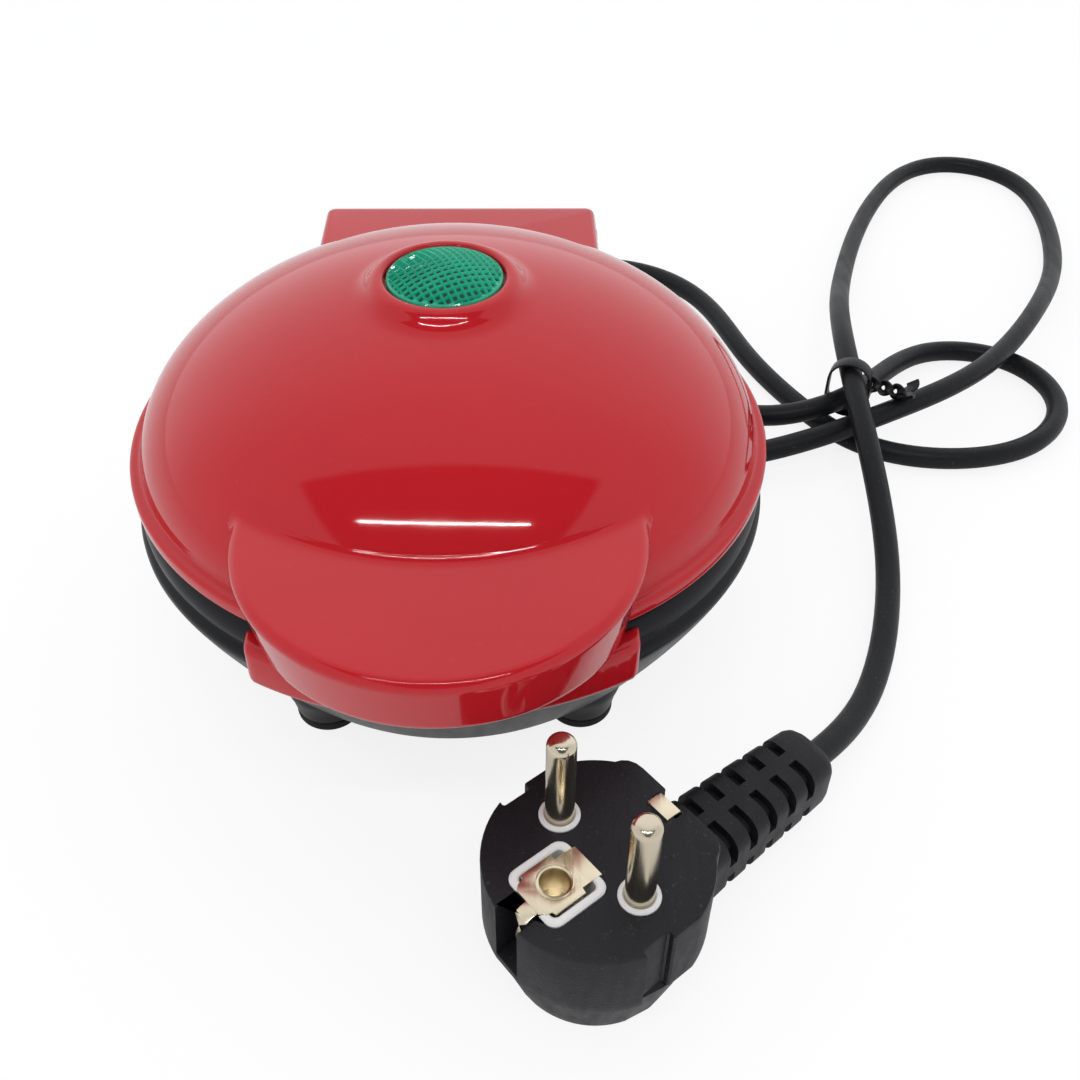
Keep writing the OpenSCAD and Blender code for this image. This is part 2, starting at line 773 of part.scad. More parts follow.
// A flat wire tie round two strands where they cross, with its two ends twisted beside it
module cord_tie() {
    color("#101011")
        translate(TIE_AT)
            rotate([0, 0, tie_turn]) {
                rotate([90, 0, 0])
                    translate([0, 0, -tie_w / 2])
                        linear_extrude(tie_w)
                            difference() {
                                tie_outline(tie_t);
                                tie_outline(0);
                            }
                translate([tie_half_w + tie_t / 2, -0.9, 1.4])
                    cube([9, 1.8, 1.8]);
            }
}

module tie_outline(g) {
    $fn = small_fn;
    for (side = [-1, 1])
        translate([0, side * (tie_half_h - tie_half_w)])
            circle(r = tie_half_w + g);
    square([2 * (tie_half_w + g), 2 * (tie_half_h - tie_half_w)], center = true);
}

// Plug, with local X along its lead and Z through its pins

module at_plug() {
    translate([plug_x, plug_y, 0])
        rotate([0, 0, plug_turn])
            children();
}

// Outline of the plug's face: a round face with flats along its sides and a guide on the pin line
module plug_outline() {
    difference() {
        union() {
            intersection() {
                circle(r = plug_r);
                square([2 * plug_r, 2 * plug_r - 1.2], center = true);
            }
            translate([4, 0]) square([26, 24], center = true);
        }
        for (side = [-1, 1]) {
            translate([-3.2, side * (plug_r + 0.8)]) square([5.2, 5.4], center = true);
        }
    }
}

module plug_body() {
    pocket_z = plug_face_z - 9;
    color("#1c1d1f")
        at_plug()
            difference() {
                union() {
                    translate([0, 0, plug_face_z - 15])
                        linear_extrude(15)
                            plug_outline();
                    cylinder(r1 = plug_r - 5.5, r2 = plug_r - 0.7, h = plug_face_z - 15 + 0.01);
                    // Neck and strain relief, tapering to the lead
                    translate([8, -9.5, 0.4])
                        cube([relief_start - 8, 19, 17]);
                    relief();
                }
                // Pocket for the bridge, with slots for the earth strap and its two clips
                bridge_space(seat_gap / 2, pocket_z);
                for (x = [-plug_r - 1, plug_r - 4.4])
                    translate([x, -3.2, plug_face_z - 13])
                        cube([5.4, 6.4, 14]);
                translate([-16, -3.8, plug_face_z - 1.2])
                    cube([8, 7.6, 2]);
                translate([-5, -2.6, plug_face_z - 6.2])
                    cube([20, 5.2, 1.4]);
            }
}

// The ribbed relief: a rounded block that narrows, with two rows of slots on its top
module relief() {
    n = 5;
    pitch = 5.2;
    difference() {
        translate([relief_start, 0, 0])
            rotate([90, 0, 90])
                difference() {
                    translate([0, 0, -2])
                        linear_extrude(relief_l + 2)
                            intersection() {
                                translate([-relief_w / 2, relief_z - relief_h / 2])
                                    square([relief_w, relief_h]);
                                translate([0, relief_z])
                                    circle(r = relief_w * 0.62, $fn = small_fn);
                            }
                    for (side = [-1, 1])
                        translate([side * (relief_w / 2 + 5), relief_z, relief_l])
                            rotate([0, -side * 4, 0])
                                translate([-5, -relief_h, -relief_l])
                                    cube([10, 2 * relief_h, relief_l + 4]);
                }
        for (i = [0:n - 1], side = [-1, 1])
            translate([relief_start + 4.6 + i * pitch, side * 4.6 - 3.1, relief_z + 2.4])
                cube([2.4, 6.2, relief_h]);
        translate([relief_start + relief_l - 2, 0, relief_z])
            rotate([0, 90, 0])
                cylinder(r = cord_r + 0.3, h = 4, $fn = small_fn);
    }
}

// The bridge's parts that reach the face, grown by g: two collars, and a frame joined to them below
module bridge_space(g, z) {
    for (side = [-1, 1])
        translate([0, side * plug_pitch / 2, z])
            cylinder(r = 3.4 + g, h = plug_face_z - z + over, $fn = small_fn);
    translate([-14.2 - g, -6 - g, z])
        cube([11.6 + 2 * g, 12 + 2 * g, plug_face_z - z + over]);
    translate([-9 - g, -plug_pitch / 2 - 3 - g, z])
        cube([10 + 2 * g, plug_pitch + 6 + 2 * g, 2.2 + g]);
}

module plug_bridge() {
    z = plug_face_z - 9;
    rise = 0.5;
    color("#f1f1ee")
        at_plug()
            difference() {
                intersection() {
                    bridge_space(0, z + 0.05);
                    translate([-20, -20, z])
                        cube([40, 40, plug_face_z - z + rise]);
                }
                for (side = [-1, 1])
                    translate([0, side * plug_pitch / 2, z - over])
                        cylinder(r = plug_pin_r + press_fit, h = 14, $fn = small_fn);
                // Inside of the frame, and the ways out for the earth strap
                translate([-12.8, -4.6, z + 2.4])
                    cube([8.8, 9.2, 9]);
                translate([-16, -3.8, plug_face_z - 1.2])
                    cube([6, 7.6, 3]);
                translate([-7, -2.6, plug_face_z - 6.2])
                    cube([6, 5.2, 1.4]);
            }
}

module plug_pins() {
    z0 = plug_face_z - 8.5;
    tip = 1.4;
    color("#cfcabb")
        at_plug()
            for (side = [-1, 1])
                translate([0, side * plug_pitch / 2, 0])
                    rotate_extrude($fn = small_fn)
                        polygon(concat(
                            [[0, z0], [plug_pin_r, z0]],
                            arc([plug_pin_r - tip, plug_face_z + plug_pin_l - tip], tip, 0, 90, 6),
                            [[0, plug_face_z + plug_pin_l]]));
}

// Earth contact: a plate round the socket at the face, a strap below it and a clip at each side
module earth_contact() {
    z = plug_face_z - 0.9;
    t = 0.8;
    color("#d8c48a")
        at_plug()
            difference() {
                union() {
                    translate([-15.8, -3.6, z]) cube([11.2, 7.2, t]);
                    translate([-plug_r + 0.4, -2.3, z]) cube([4, 4.6, t]);
                    translate([-8.6, 0, z - 5]) cylinder(r = 3.1, h = 6.1, $fn = small_fn);
                    // Step down to the strap, and the strap to the far clip
                    translate([-5.4, -2.3, z - 5.1]) cube([t, 4.6, 5.9]);
                    translate([-5.4, -2.3, z - 5.1]) cube([plug_r + 3.4, 4.6, t]);
                    translate([-plug_r + 0.4, -2.3, z - 11]) cube([t, 4.6, 11 + t]);
                    translate([plug_r - 2.8, -2.3, z - 11]) cube([t, 4.6, 11 + t]);
                    translate([plug_r - 4.2, -2.3, z]) cube([2, 4.6, t]);
                }
                translate([-8.6, 0, z - 6])
                    cylinder(r = 2.4, h = 10, $fn = small_fn);
            }
}

// Lid

// A puck with a rounded top edge and a leaning side, drawn in by t
module handle_puck(t) {
    r = handle_r - t;
    top = handle_top_z - t;
    e = handle_round;
    translate([0, handle_y, 0])
        rotate_extrude()
            polygon(concat(
                [[0, top], [0, handle_top_z - handle_h - (t > 0 ? over : 0)],
                 [r - handle_draft, handle_top_z - handle_h - (t > 0 ? over : 0)]],
                arc([r - e, top - e], e, 0, 90),
                [[0, top]]));
}

module hinge_cover() {
    // Roof with a rounded back edge, closed by the back wall and the two sides
    difference() {
        side_plate(-ear_out, ear_out, concat(
            [[cover_front_y, lip_z], [cover_front_y, cover_top_z]],
            arc([back_y - cover_round, cover_top_z - cover_round], cover_round, 90, 0),
            [[back_y, cover_wall_z], [hinge_y, cover_wall_z - 4], [lip_r, lip_z]]));
        side_plate(-ear_in, ear_in, [
            [cover_front_y - over, lip_z - over], [cover_front_y - over, cover_top_z - cover_roof_t],
            [back_y - cover_roof_t - 1, cover_top_z - cover_roof_t],
            [back_y - cover_roof_t, cover_top_z - cover_roof_t - 1],
            [back_y - cover_roof_t, lip_z - over]]);
        // Rounded corners seen from above
        for (side = [-1, 1])
            translate([side * (cover_half_w - 3), back_y - 3, 0])
                difference() {
                    translate([side > 0 ? 0 : -4, 0, lip_z - over])
                        cube([4, 4, cover_top_z]);
                    translate([0, 0, lip_z - 2 * over])
                        cylinder(r = 3, h = cover_top_z, $fn = small_fn);
                }
    }
    hinge_bars(barrel_r + 0.6, ear_in, ear_out);
}

// Four bosses that come down from the dome onto the frame's posts
module lid_bosses() {
    intersection() {
        at_posts()
            translate([0, 0, lid_boss_z])
                cylinder(r = boss_r, h = 40, $fn = small_fn);
        lid_space(wall - 0.4);
    }
}

module lid_shell() {
    color("#c4161f")
        difference() {
            union() {
                difference() {
                    union() {
                        lid_space(0);
                        translate([0, 0, lip_z]) cylinder(r = lip_r, h = lip_h);
                        handle_puck(0);
                        hinge_cover();
                        bezel();
                    }
                    lid_space(wall);
                    difference() {
                        handle_puck(handle_wall);
                        translate([0, 0, lip_z]) cylinder(r = dome_r - wall / 2, h = 40);
                        translate([0, 0, lip_z]) cylinder(r = lip_r + 1, h = lip_h + 1.4);
                    }
                }
                lid_bosses();
            }
            // Seat of the lens, and the hole that its holder goes through
            translate([0, 0, dome_z + dome_h - 0.6])
                cylinder(r = lens_r + 0.4, h = 10, $fn = small_fn);
            translate([0, 0, dome_z + dome_h - 8])
                cylinder(r = lens_r - 1.6, h = 10, $fn = small_fn);
            at_posts()
                translate([0, 0, lid_boss_z - over])
                    cylinder(r = pilot_r, h = over + 7, $fn = small_fn);
            hinge_bars(pin_r + run_fit, ear_in - over, ear_out + over);
            // Hole for the lead across the hinge
            translate([link_x, dome_r - 6, link_lid_z])
                rotate([-90, 0, 0])
                    cylinder(r = link_hole_r, h = 8, $fn = small_fn);
            // The lip is open below for the frame
            translate([0, 0, lip_z - over]) cylinder(r = dome_r - wall, h = over + 1);
        }
}

module bezel() {
    top = dome_z + dome_h + bezel_h;
    rotate_extrude()
        polygon([[lens_r - 2, dome_z + dome_h - 3], [bezel_r + 5, dome_z + dome_rise(0.3) - 1.2],
                 [bezel_r + 3.4, dome_z + dome_rise(0.27)], [bezel_r + 1.4, top - 1.5],
                 [bezel_r + 0.5, top - 0.5], [bezel_r - 0.6, top], [lens_r - 2, top]]);
}

module lid_frame() {
    seat = upper_z + plate_t;
    color("#26272a")
        difference() {
            union() {
                plate_ring(seat, 1, plate_t - frame_lip);
                post(seat, lid_boss_z - seat_gap);
            }
            at_posts() {
                translate([0, 0, seat - over])
                    cylinder(r = screw_hole_r, h = 40, $fn = small_fn);
                translate([0, 0, seat - over])
                    cylinder(r = screw_head_r + 0.2, h = over + lid_screw_depth, $fn = small_fn);
            }
            // Notch for the lead across the hinge
            translate([link_x - link_hole_r - 0.4, ledge_r - over, link_lid_z - link_hole_r])
                cube([2 * link_hole_r + 0.8, 8, 4]);
        }
}

module upper_cooking_plate() {
    color("#3a3b3d") cooking_plate(upper_z, 1);
}

module upper_heating_element() {
    color("#8d8f92") element(upper_pan_z + seat_gap + element_r);
}

module upper_element_clamp() {
    color("#b8babd") element_clamp(upper_pan_z + seat_gap / 2, 1, upper_shield_z + seat_gap);
}

module upper_heat_shield() {
    heat_shield(upper_shield_z, -1, boss_r + seat_gap, 12, 3);
}

module indicator_lens() {
    edge_z = dome_z + dome_h - 0.5;
    edge_h = bezel_h + 0.6;
    curve = (lens_r * lens_r + lens_bulge * lens_bulge) / (2 * lens_bulge);
    color("#0b8f5f")
        difference() {
            union() {
                translate([0, 0, edge_z]) cylinder(r = lens_r, h = edge_h + 0.01);
                intersection() {
                    translate([0, 0, edge_z + edge_h + lens_bulge - curve]) sphere(r = curve);
                    translate([0, 0, edge_z + edge_h]) cylinder(r = lens_r, h = 10);
                }
            }
            translate([0, 0, edge_z - over])
                cylinder(r = lens_r - 1.6, h = over + edge_h, $fn = small_fn);
        }
}

module lamp_holder() {
    top = dome_z + dome_h - 0.5;
    h = 7;
    color("#1f2022")
        difference() {
            translate([0, 0, top - h]) cylinder(r = lens_r - 1.8, h = h + 1, $fn = small_fn);
            translate([0, 0, top - h + 1.4]) cylinder(r = lens_r - 3.2, h = h + over, $fn = small_fn);
            translate([0, 0, top - h - over]) cylinder(r = 2.4, h = 4, $fn = small_fn);
        }
}

module indicator_lamp() {
    z0 = lamp_z;
    color("#e8d7c0") {
        translate([0, 0, z0 + 1]) cylinder(r = 2.2, h = 5, $fn = 32);
        translate([0, 0, z0 + 6]) sphere(r = 2.2, $fn = 32);
        for (y = [-1.2, 1.2])
            translate([0, y, z0 - 1]) cylinder(r = 0.4, h = 3, $fn = 16);
    }
}

// The lead from the hinge axis, two wires round to the element's terminals, and two from there
// through the shield to the lamp
module lid_wiring() {
    pin_z = upper_pan_z + seat_gap + element_r;
    pin_x = element_pin_x + 0.3;
    w = element_bend_r;
    lid_z = lid_boss_z;
    color("#2b2b2d")
        tube([[0, 45.8, lid_z - 6.6], [2.6, 48, link_lid_z + 1.6], [4.8, 51, link_lid_z + 0.1],
              [link_x, dome_r - 2.6, link_lid_z], [link_x, hinge_y - 7, link_lid_z],
              [link_x, hinge_y - 3, link_lid_z - 0.8], [link_x, hinge_y - 0.8, link_lid_z - 2.6],
              [link_x - 0.6, hinge_y, hinge_z + 0.5], [3, hinge_y, hinge_z],
              [seat_gap, hinge_y, hinge_z]], link_r, 10, [0, 0.6, 0.8]);
    color("#3e6fa8") {
        tube([[-0.9, 45.4, lid_z - 6.4], [-0.9, 40, lid_z - 4], [-0.4, 34, lid_z - 2], [6, 26, lid_z - 0.5],
              [14, w + 8, lid_z + 0.3], [pin_x + 1.6, w + 4.4, lid_z + 0.4], [pin_x + 3.8, w + 1, lid_z],
              [pin_x + 2.6, w, pin_z], [pin_x, w, pin_z]], 0.8, 8, [0, 0, 1]);
        tube([[0.9, 45.4, lid_z - 6.4], [1.4, 40, lid_z - 4], [3, 34.5, lid_z - 2], [12, 28, lid_z - 0.4],
              [22, w + 11, lid_z + 0.4], [pin_x + 10, 9, lid_z + 0.6], [pin_x + 10, 6 - w, lid_z + 0.6],
              [pin_x + 4.8, 0.8 - w, lid_z + 0.2], [pin_x + 2.4, -w, pin_z], [pin_x, -w, pin_z]],
             0.8, 8, [0, 0, 1]);
        for (s = [-1, 1])
            tube([[pin_x + 0.6, (w - 1.8) * s, pin_z + 1.6], [19, (w - 4.4) * s, pin_z + 2.4],
                  [14.6, 3 * s, pin_z + 3], [12.6, 1.4 * s, upper_shield_z - 0.9],
                  [11.6, 1.3 * s, upper_shield_z + 1.7], [8.4, 1.2 * s, lamp_z - 0.7],
                  [4.4, 1.2 * s, lamp_z - 0.4], [0.7, 1.2 * s, lamp_z - 0.4]], 0.6, 8, [0, 1, 0]);
    }
}

module lid_screws() {
    shoulder = upper_z + plate_t + lid_screw_depth;
    color("#9a9ca0")
        at_posts() screw(shoulder - 0.05 - screw_head_h, lid_boss_z + 6 - shoulder);
}

base_shell();
base_grip();
base_frame();
lower_cooking_plate();
lower_heating_element();
lower_element_clamp();
lower_heat_shield();
thermostat();
thermal_fuse();
terminal_block();
base_wiring();
hinge_pins();
foot_pads();
base_screws();
cord_gland();
power_cord();
cord_tie();
plug_body();
plug_bridge();
plug_pins();
earth_contact();
lid_shell();
lid_frame();
upper_cooking_plate();
upper_heating_element();
upper_element_clamp();
upper_heat_shield();
indicator_lens();
lamp_holder();
indicator_lamp();
lid_wiring();
lid_screws();
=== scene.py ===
"""Looks of a round taiyaki maker with a red domed lid, a black base and its mains lead.

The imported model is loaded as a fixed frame. Each sub-assembly below is a class that
builds smooth pieces over it, in millimetres, and hands them on in metres.
"""

import logging
import math
from dataclasses import dataclass, field
from enum import Enum
from typing import Callable, Iterable, Sequence

import bmesh
import bpy
from mathutils import Matrix, Vector


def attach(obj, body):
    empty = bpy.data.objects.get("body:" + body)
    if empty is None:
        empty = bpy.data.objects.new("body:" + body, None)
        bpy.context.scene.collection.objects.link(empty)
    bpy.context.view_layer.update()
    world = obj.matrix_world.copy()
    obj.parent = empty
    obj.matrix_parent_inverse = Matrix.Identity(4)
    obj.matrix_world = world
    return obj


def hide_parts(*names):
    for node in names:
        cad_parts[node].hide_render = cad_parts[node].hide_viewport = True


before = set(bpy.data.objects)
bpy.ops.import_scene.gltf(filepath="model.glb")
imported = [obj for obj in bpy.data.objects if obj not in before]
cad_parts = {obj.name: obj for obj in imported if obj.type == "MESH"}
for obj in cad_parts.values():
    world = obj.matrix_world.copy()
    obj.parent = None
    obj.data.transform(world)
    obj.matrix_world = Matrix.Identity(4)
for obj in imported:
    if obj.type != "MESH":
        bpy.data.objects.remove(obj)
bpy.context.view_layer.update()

log = logging.getLogger("taiyaki_maker")

MM = 0.001
Point2 = tuple[float, float]
Rgb = tuple[float, float, float]
Mesh = bmesh.types.BMesh
Edge = bmesh.types.BMEdge
Vert = bmesh.types.BMVert
Piece = bpy.types.Object
Tree = bpy.types.NodeTree
Socket = bpy.types.NodeSocket

POST_TURNS = (75, 105, 255, 285)
POST_CIRCLE = 38.0


# ---------------------------------------------------------------- shapes


def arc(centre: Point2, radius: float, start: float, end: float, steps: int) -> list[Point2]:
    """Points along a circular arc.

    Args:
        centre: Middle of the circle.
        radius: Its radius.
        start: First angle, in degrees.
        end: Last angle, in degrees.
        steps: Number of straight stretches.

    Returns:
        The points, both ends included.
    """
    angles = (math.radians(start + (end - start) * i / steps) for i in range(steps + 1))
    return [(centre[0] + radius * math.cos(a), centre[1] + radius * math.sin(a)) for a in angles]


def rounded_box(low: Point2, high: Point2, radius: float, steps: int = 4) -> list[Point2]:
    """Outline of a rectangle with round corners, anticlockwise.

    Args:
        low: Lower left corner.
        high: Upper right corner.
        radius: Radius of the corners.
        steps: Stretches in each corner.

    Returns:
        The outline's points.
    """
    r = min(radius, (high[0] - low[0]) / 2.001, (high[1] - low[1]) / 2.001)
    corners = [(high[0] - r, high[1] - r, 0), (low[0] + r, high[1] - r, 90),
               (low[0] + r, low[1] + r, 180), (high[0] - r, low[1] + r, 270)]
    return [p for x, y, a in corners for p in arc((x, y), r, a, a + 90, steps)]


def along(origin: Sequence[float], direction: Sequence[float]) -> Matrix:
    """Placement that carries +Z to a direction, from an origin."""
    turn = Vector(direction).to_track_quat("Z", "Y").to_matrix().to_4x4()
    return Matrix.Translation(Vector(origin)) @ turn


def spread(start: float, end: float, steps: int, power: float = 1.0) -> list[float]:
    """Values from start to end, closer together near the start where power is above 1."""
    return [start + (end - start) * (i / steps) ** power for i in range(steps + 1)]


def level(outline: Iterable[Point2], z: float) -> list[Rgb]:
    """An outline set at a height."""
    return [(x, y, z) for x, y in outline]


def post_middles() -> list[Point2]:
    """Middles of the four screw posts, which the lid and the base share."""
    turns = [math.radians(turn) for turn in POST_TURNS]
    return [(POST_CIRCLE * math.cos(a), POST_CIRCLE * math.sin(a)) for a in turns]


def kept(geometry: Iterable, kind: type) -> list:
    """The elements of one kind among an operator's results."""
    return [item for item in geometry if isinstance(item, kind)]


def ring_of(part: Mesh, points: Iterable[Sequence[float]]) -> tuple[list[Vert], list[Edge]]:
    """Adds a closed ring of edges to a mesh and returns its vertices and edges."""
    verts = [part.verts.new(p) for p in points]
    return verts, [part.edges.new(pair) for pair in zip(verts, verts[1:] + verts[:1])]


def skin(part: Mesh, rings: Sequence[Sequence[Sequence[float]]]) -> tuple[list[Edge], list[Edge]]:
    """Draws a skin from ring to ring by extruding the first ring's edges.

    Args:
        part: Mesh that it goes in.
        rings: Closed rings with the same number of points each.

    Returns:
        The edges of the first ring and those of the last.
    """
    front, first = ring_of(part, rings[0])
    edges = first
    for ring in rings[1:]:
        made = bmesh.ops.extrude_edge_only(part, edges=edges)["geom"]
        fresh, edges = set(kept(made, Vert)), kept(made, Edge)
        front = [next(e.other_vert(v) for e in v.link_edges if e.other_vert(v) in fresh)
                 for v in front]
        for vert, point in zip(front, ring):
            vert.co = point
    return first, edges


class Form:
    """Geometry of one piece, gathered in millimetres in the shared frame."""

    def __init__(self) -> None:
        """Starts with an empty mesh."""
        self.bm = bmesh.new()

    def take(self, part: Mesh, place: Matrix | None = None) -> None:
        """Adds a part to the piece with its doubles merged and its faces turned outwards.

        Args:
            part: The part, which is freed.
            place: Where it goes.
        """
        bmesh.ops.remove_doubles(part, verts=part.verts, dist=1e-4)
        if place is not None:
            bmesh.ops.transform(part, matrix=place, verts=part.verts)
        bmesh.ops.recalc_face_normals(part, faces=part.faces)
        mesh = bpy.data.meshes.new("part")
        part.to_mesh(mesh)
        part.free()
        self.bm.from_mesh(mesh)
        bpy.data.meshes.remove(mesh)

    def spun(self, profile: Sequence[Point2], steps: int = 64, place: Matrix | None = None,
             closed: bool = True) -> None:
        """A turned solid from a profile of radius and height.

        Args:
            profile: Points of the profile; where it is closed, the last joins the first.
            steps: Stretches in the full turn.
            place: Where it goes.
            closed: Whether the profile is a closed ring.
        """
        part = bmesh.new()
        verts = [part.verts.new((r, 0, z)) for r, z in profile]
        ends = zip(verts, verts[1:] + verts[:1]) if closed else zip(verts, verts[1:])
        edges = [part.edges.new(pair) for pair in ends]
        bmesh.ops.spin(part, geom=verts + edges, cent=(0, 0, 0), axis=(0, 0, 1),
                       angle=math.tau, steps=steps, use_merge=True, use_duplicate=False)
        self.take(part, place)

    def loft(self, rings: Sequence[Sequence[Sequence[float]]], place: Matrix | None = None,
             caps: bool = True) -> None:
        """A piece skinned from ring to ring.

        Args:
            rings: Closed rings with the same number of points each.
            place: Where it goes.
            caps: Whether the first and last ring are closed with a face.
        """
        part = bmesh.new()
        ends = skin(part, rings)
        if caps:
            for loop in ends:
                bmesh.ops.contextual_create(part, geom=loop)
        self.take(part, place)

    def slab(self, outline: Sequence[Point2], low: float, high: float, rounding: float = 0.0,
             place: Matrix | None = None, holes: Sequence[Sequence[Point2]] = (),
             segments: int = 3) -> None:
        """A flat plate of any outline, with holes and rounded edges.

        Args:
            outline: Outer outline.
            low: Height of its lower face.
            high: Height of its upper face.
            rounding: Radius of its sharp edges.
            place: Where it goes.
            holes: Outlines of the holes through it.
            segments: Stretches in a rounded edge.
        """
        part = bmesh.new()
        edges = [e for loop in (outline, *holes) for e in ring_of(part, level(loop, low))[1]]
        if holes:
            bmesh.ops.triangle_fill(part, use_beauty=True, use_dissolve=False, edges=edges)
        else:
            bmesh.ops.contextual_create(part, geom=edges)
        made = bmesh.ops.extrude_face_region(part, geom=part.faces[:])["geom"]
        bmesh.ops.translate(part, vec=(0, 0, high - low), verts=kept(made, Vert))
        bmesh.ops.recalc_face_normals(part, faces=part.faces)
        if rounding > 0:
            self.round_edges(part, rounding, segments)
        self.take(part, place)

    @staticmethod
    def round_edges(part: Mesh, radius: float, segments: int) -> None:
        """Bevels every edge of a part that is sharper than 40 degrees."""
        sharp = [e for e in part.edges if e.is_manifold and e.calc_face_angle(0) > 0.7]
        bmesh.ops.bevel(part, geom=sharp, offset=radius, offset_type="OFFSET", segments=segments,
                        profile=0.5, affect="EDGES", clamp_overlap=True, material=-1)

    def swept(self, path: Sequence[Vector], section: Sequence[Point2], turns: float = 0.0,
              up: Sequence[float] = (0, 0, 1), place: Matrix | None = None) -> None:
        """A bar of constant section along a path.

        Args:
            path: Points that it follows.
            section: Its section, across and up.
            turns: How many times it twists on the way.
            up: Direction that its section's height leans to.
            place: Where it goes.
        """
        rings = []
        last = len(path) - 1
        for i, point in enumerate(path):
            heading = (path[min(i + 1, last)] - path[max(i - 1, 0)]).normalized()
            side = heading.cross(Vector(up)).normalized()
            lift = side.cross(heading)
            c, s = math.cos(math.tau * turns * i / last), math.sin(math.tau * turns * i / last)
            rings.append([point + side * (x * c - y * s) + lift * (x * s + y * c)
                          for x, y in section])
        self.loft(rings, place)

    @staticmethod
    def mark_painted_shade(faces: Iterable[bmesh.types.BMFace]) -> None:
        """Marks faces that get the piece's second material, a darker one that paints shade on them.
        """
        for face in faces:
            face.material_index = 1

    def finish(self, name: str, body: "Body", finish: "Finish", replaces: Iterable[str] = (),
               sharp: float = 32.0, deep: "Finish | None" = None) -> Piece:
        """Turns the form into a finished piece in metres.

        Args:
            name: Plain name of the piece.
            body: CAD body that it rides on.
            finish: What it is made of.
            replaces: CAD nodes that it stands for.
            sharp: Angle, in degrees, past which an edge is shown sharp.
            deep: Finish of the marked faces, a darker one that paints shade on them.

        Returns:
            The piece.
        """
        bmesh.ops.scale(self.bm, vec=(MM, MM, MM), verts=self.bm.verts)
        for face in self.bm.faces:
            face.smooth = True
        for edge in self.bm.edges:
            edge.smooth = not (edge.is_manifold and edge.calc_face_angle(0) > math.radians(sharp))
        mesh = bpy.data.meshes.new(name)
        self.bm.to_mesh(mesh)
        self.bm.free()
        piece = bpy.data.objects.new(name, mesh)
        bpy.context.scene.collection.objects.link(piece)
        settle(piece, body, finish, replaces)
        if deep is not None:
            mesh.materials.append(deep.material())
        return piece


def settle(piece: Piece, body: "Body", finish: "Finish",
           replaces: Iterable[str] = ()) -> Piece:
    """Gives a piece its finish, named after its slot, and its body, and reports it.

    Args:
        piece: The piece.
        body: CAD body that it rides on.
        finish: What it is made of.
        replaces: CAD nodes that it stands for.

    Returns:
        The same piece.
    """
    piece.data.materials.append(finish.material())
    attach(piece, body.value)
    nodes = list(replaces)
    if nodes:
        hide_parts(*nodes)
    log.info("%s: rides on %s, finish %s", piece.name, body.value, finish.slot)
    return piece


# ---------------------------------------------------------------- finishes


class Body(Enum):
    """The two bodies that the hinge joins."""

    BASE = "base"
    LID = "lid"


class Relief(Enum):
    """Surface reliefs, each a node group of its own."""

    MOULDED = "moulded_skin"
    GRAINED = "fine_grain"
    BRUSHED = "drawn_lines"
    CAST = "cast_skin"


def maths(tree: Tree, operation: str, *values: Socket | float) -> Socket:
    """One sum on up to three values.

    Args:
        tree: Nodes that it goes in.
        operation: Blender's name of the sum.
        values: Its values, each a socket or a number.

    Returns:
        The result.
    """
    node = tree.nodes.new("ShaderNodeMath")
    node.operation = operation
    for socket, value in zip(node.inputs, values):
        if isinstance(value, float):
            socket.default_value = value
        else:
            tree.links.new(value, socket)
    return node.outputs["Value"]


def mapped(tree: Tree, value: Socket, low: float, high: float, ends: Point2 = (0.0, 1.0),
           soft: bool = False) -> Socket:
    """Maps one range of a value to another.

    Args:
        tree: Nodes that it goes in.
        value: The value.
        low: Where the range starts.
        high: Where it ends.
        ends: What the two become.
        soft: Whether the change eases in and out.

    Returns:
        The result.
    """
    node = tree.nodes.new("ShaderNodeMapRange")
    node.interpolation_type = "SMOOTHSTEP" if soft else "LINEAR"
    for label, number in zip(("From Min", "From Max", "To Min", "To Max"), (low, high, *ends)):
        node.inputs[label].default_value = number
    tree.links.new(value, node.inputs["Value"])
    return node.outputs["Result"]


def blended(tree: Tree, share: Socket, first: Socket, second: Socket) -> Socket:
    """Blends two colours.

    Args:
        tree: Nodes that it goes in.
        share: How much of the second there is.
        first: First colour.
        second: Second colour.

    Returns:
        The blend.
    """
    node = tree.nodes.new("ShaderNodeMix")
    node.data_type = "RGBA"
    for label, value in (("Factor", share), ("A", first), ("B", second)):
        tree.links.new(value, node.inputs[label])
    return node.outputs["Result"]


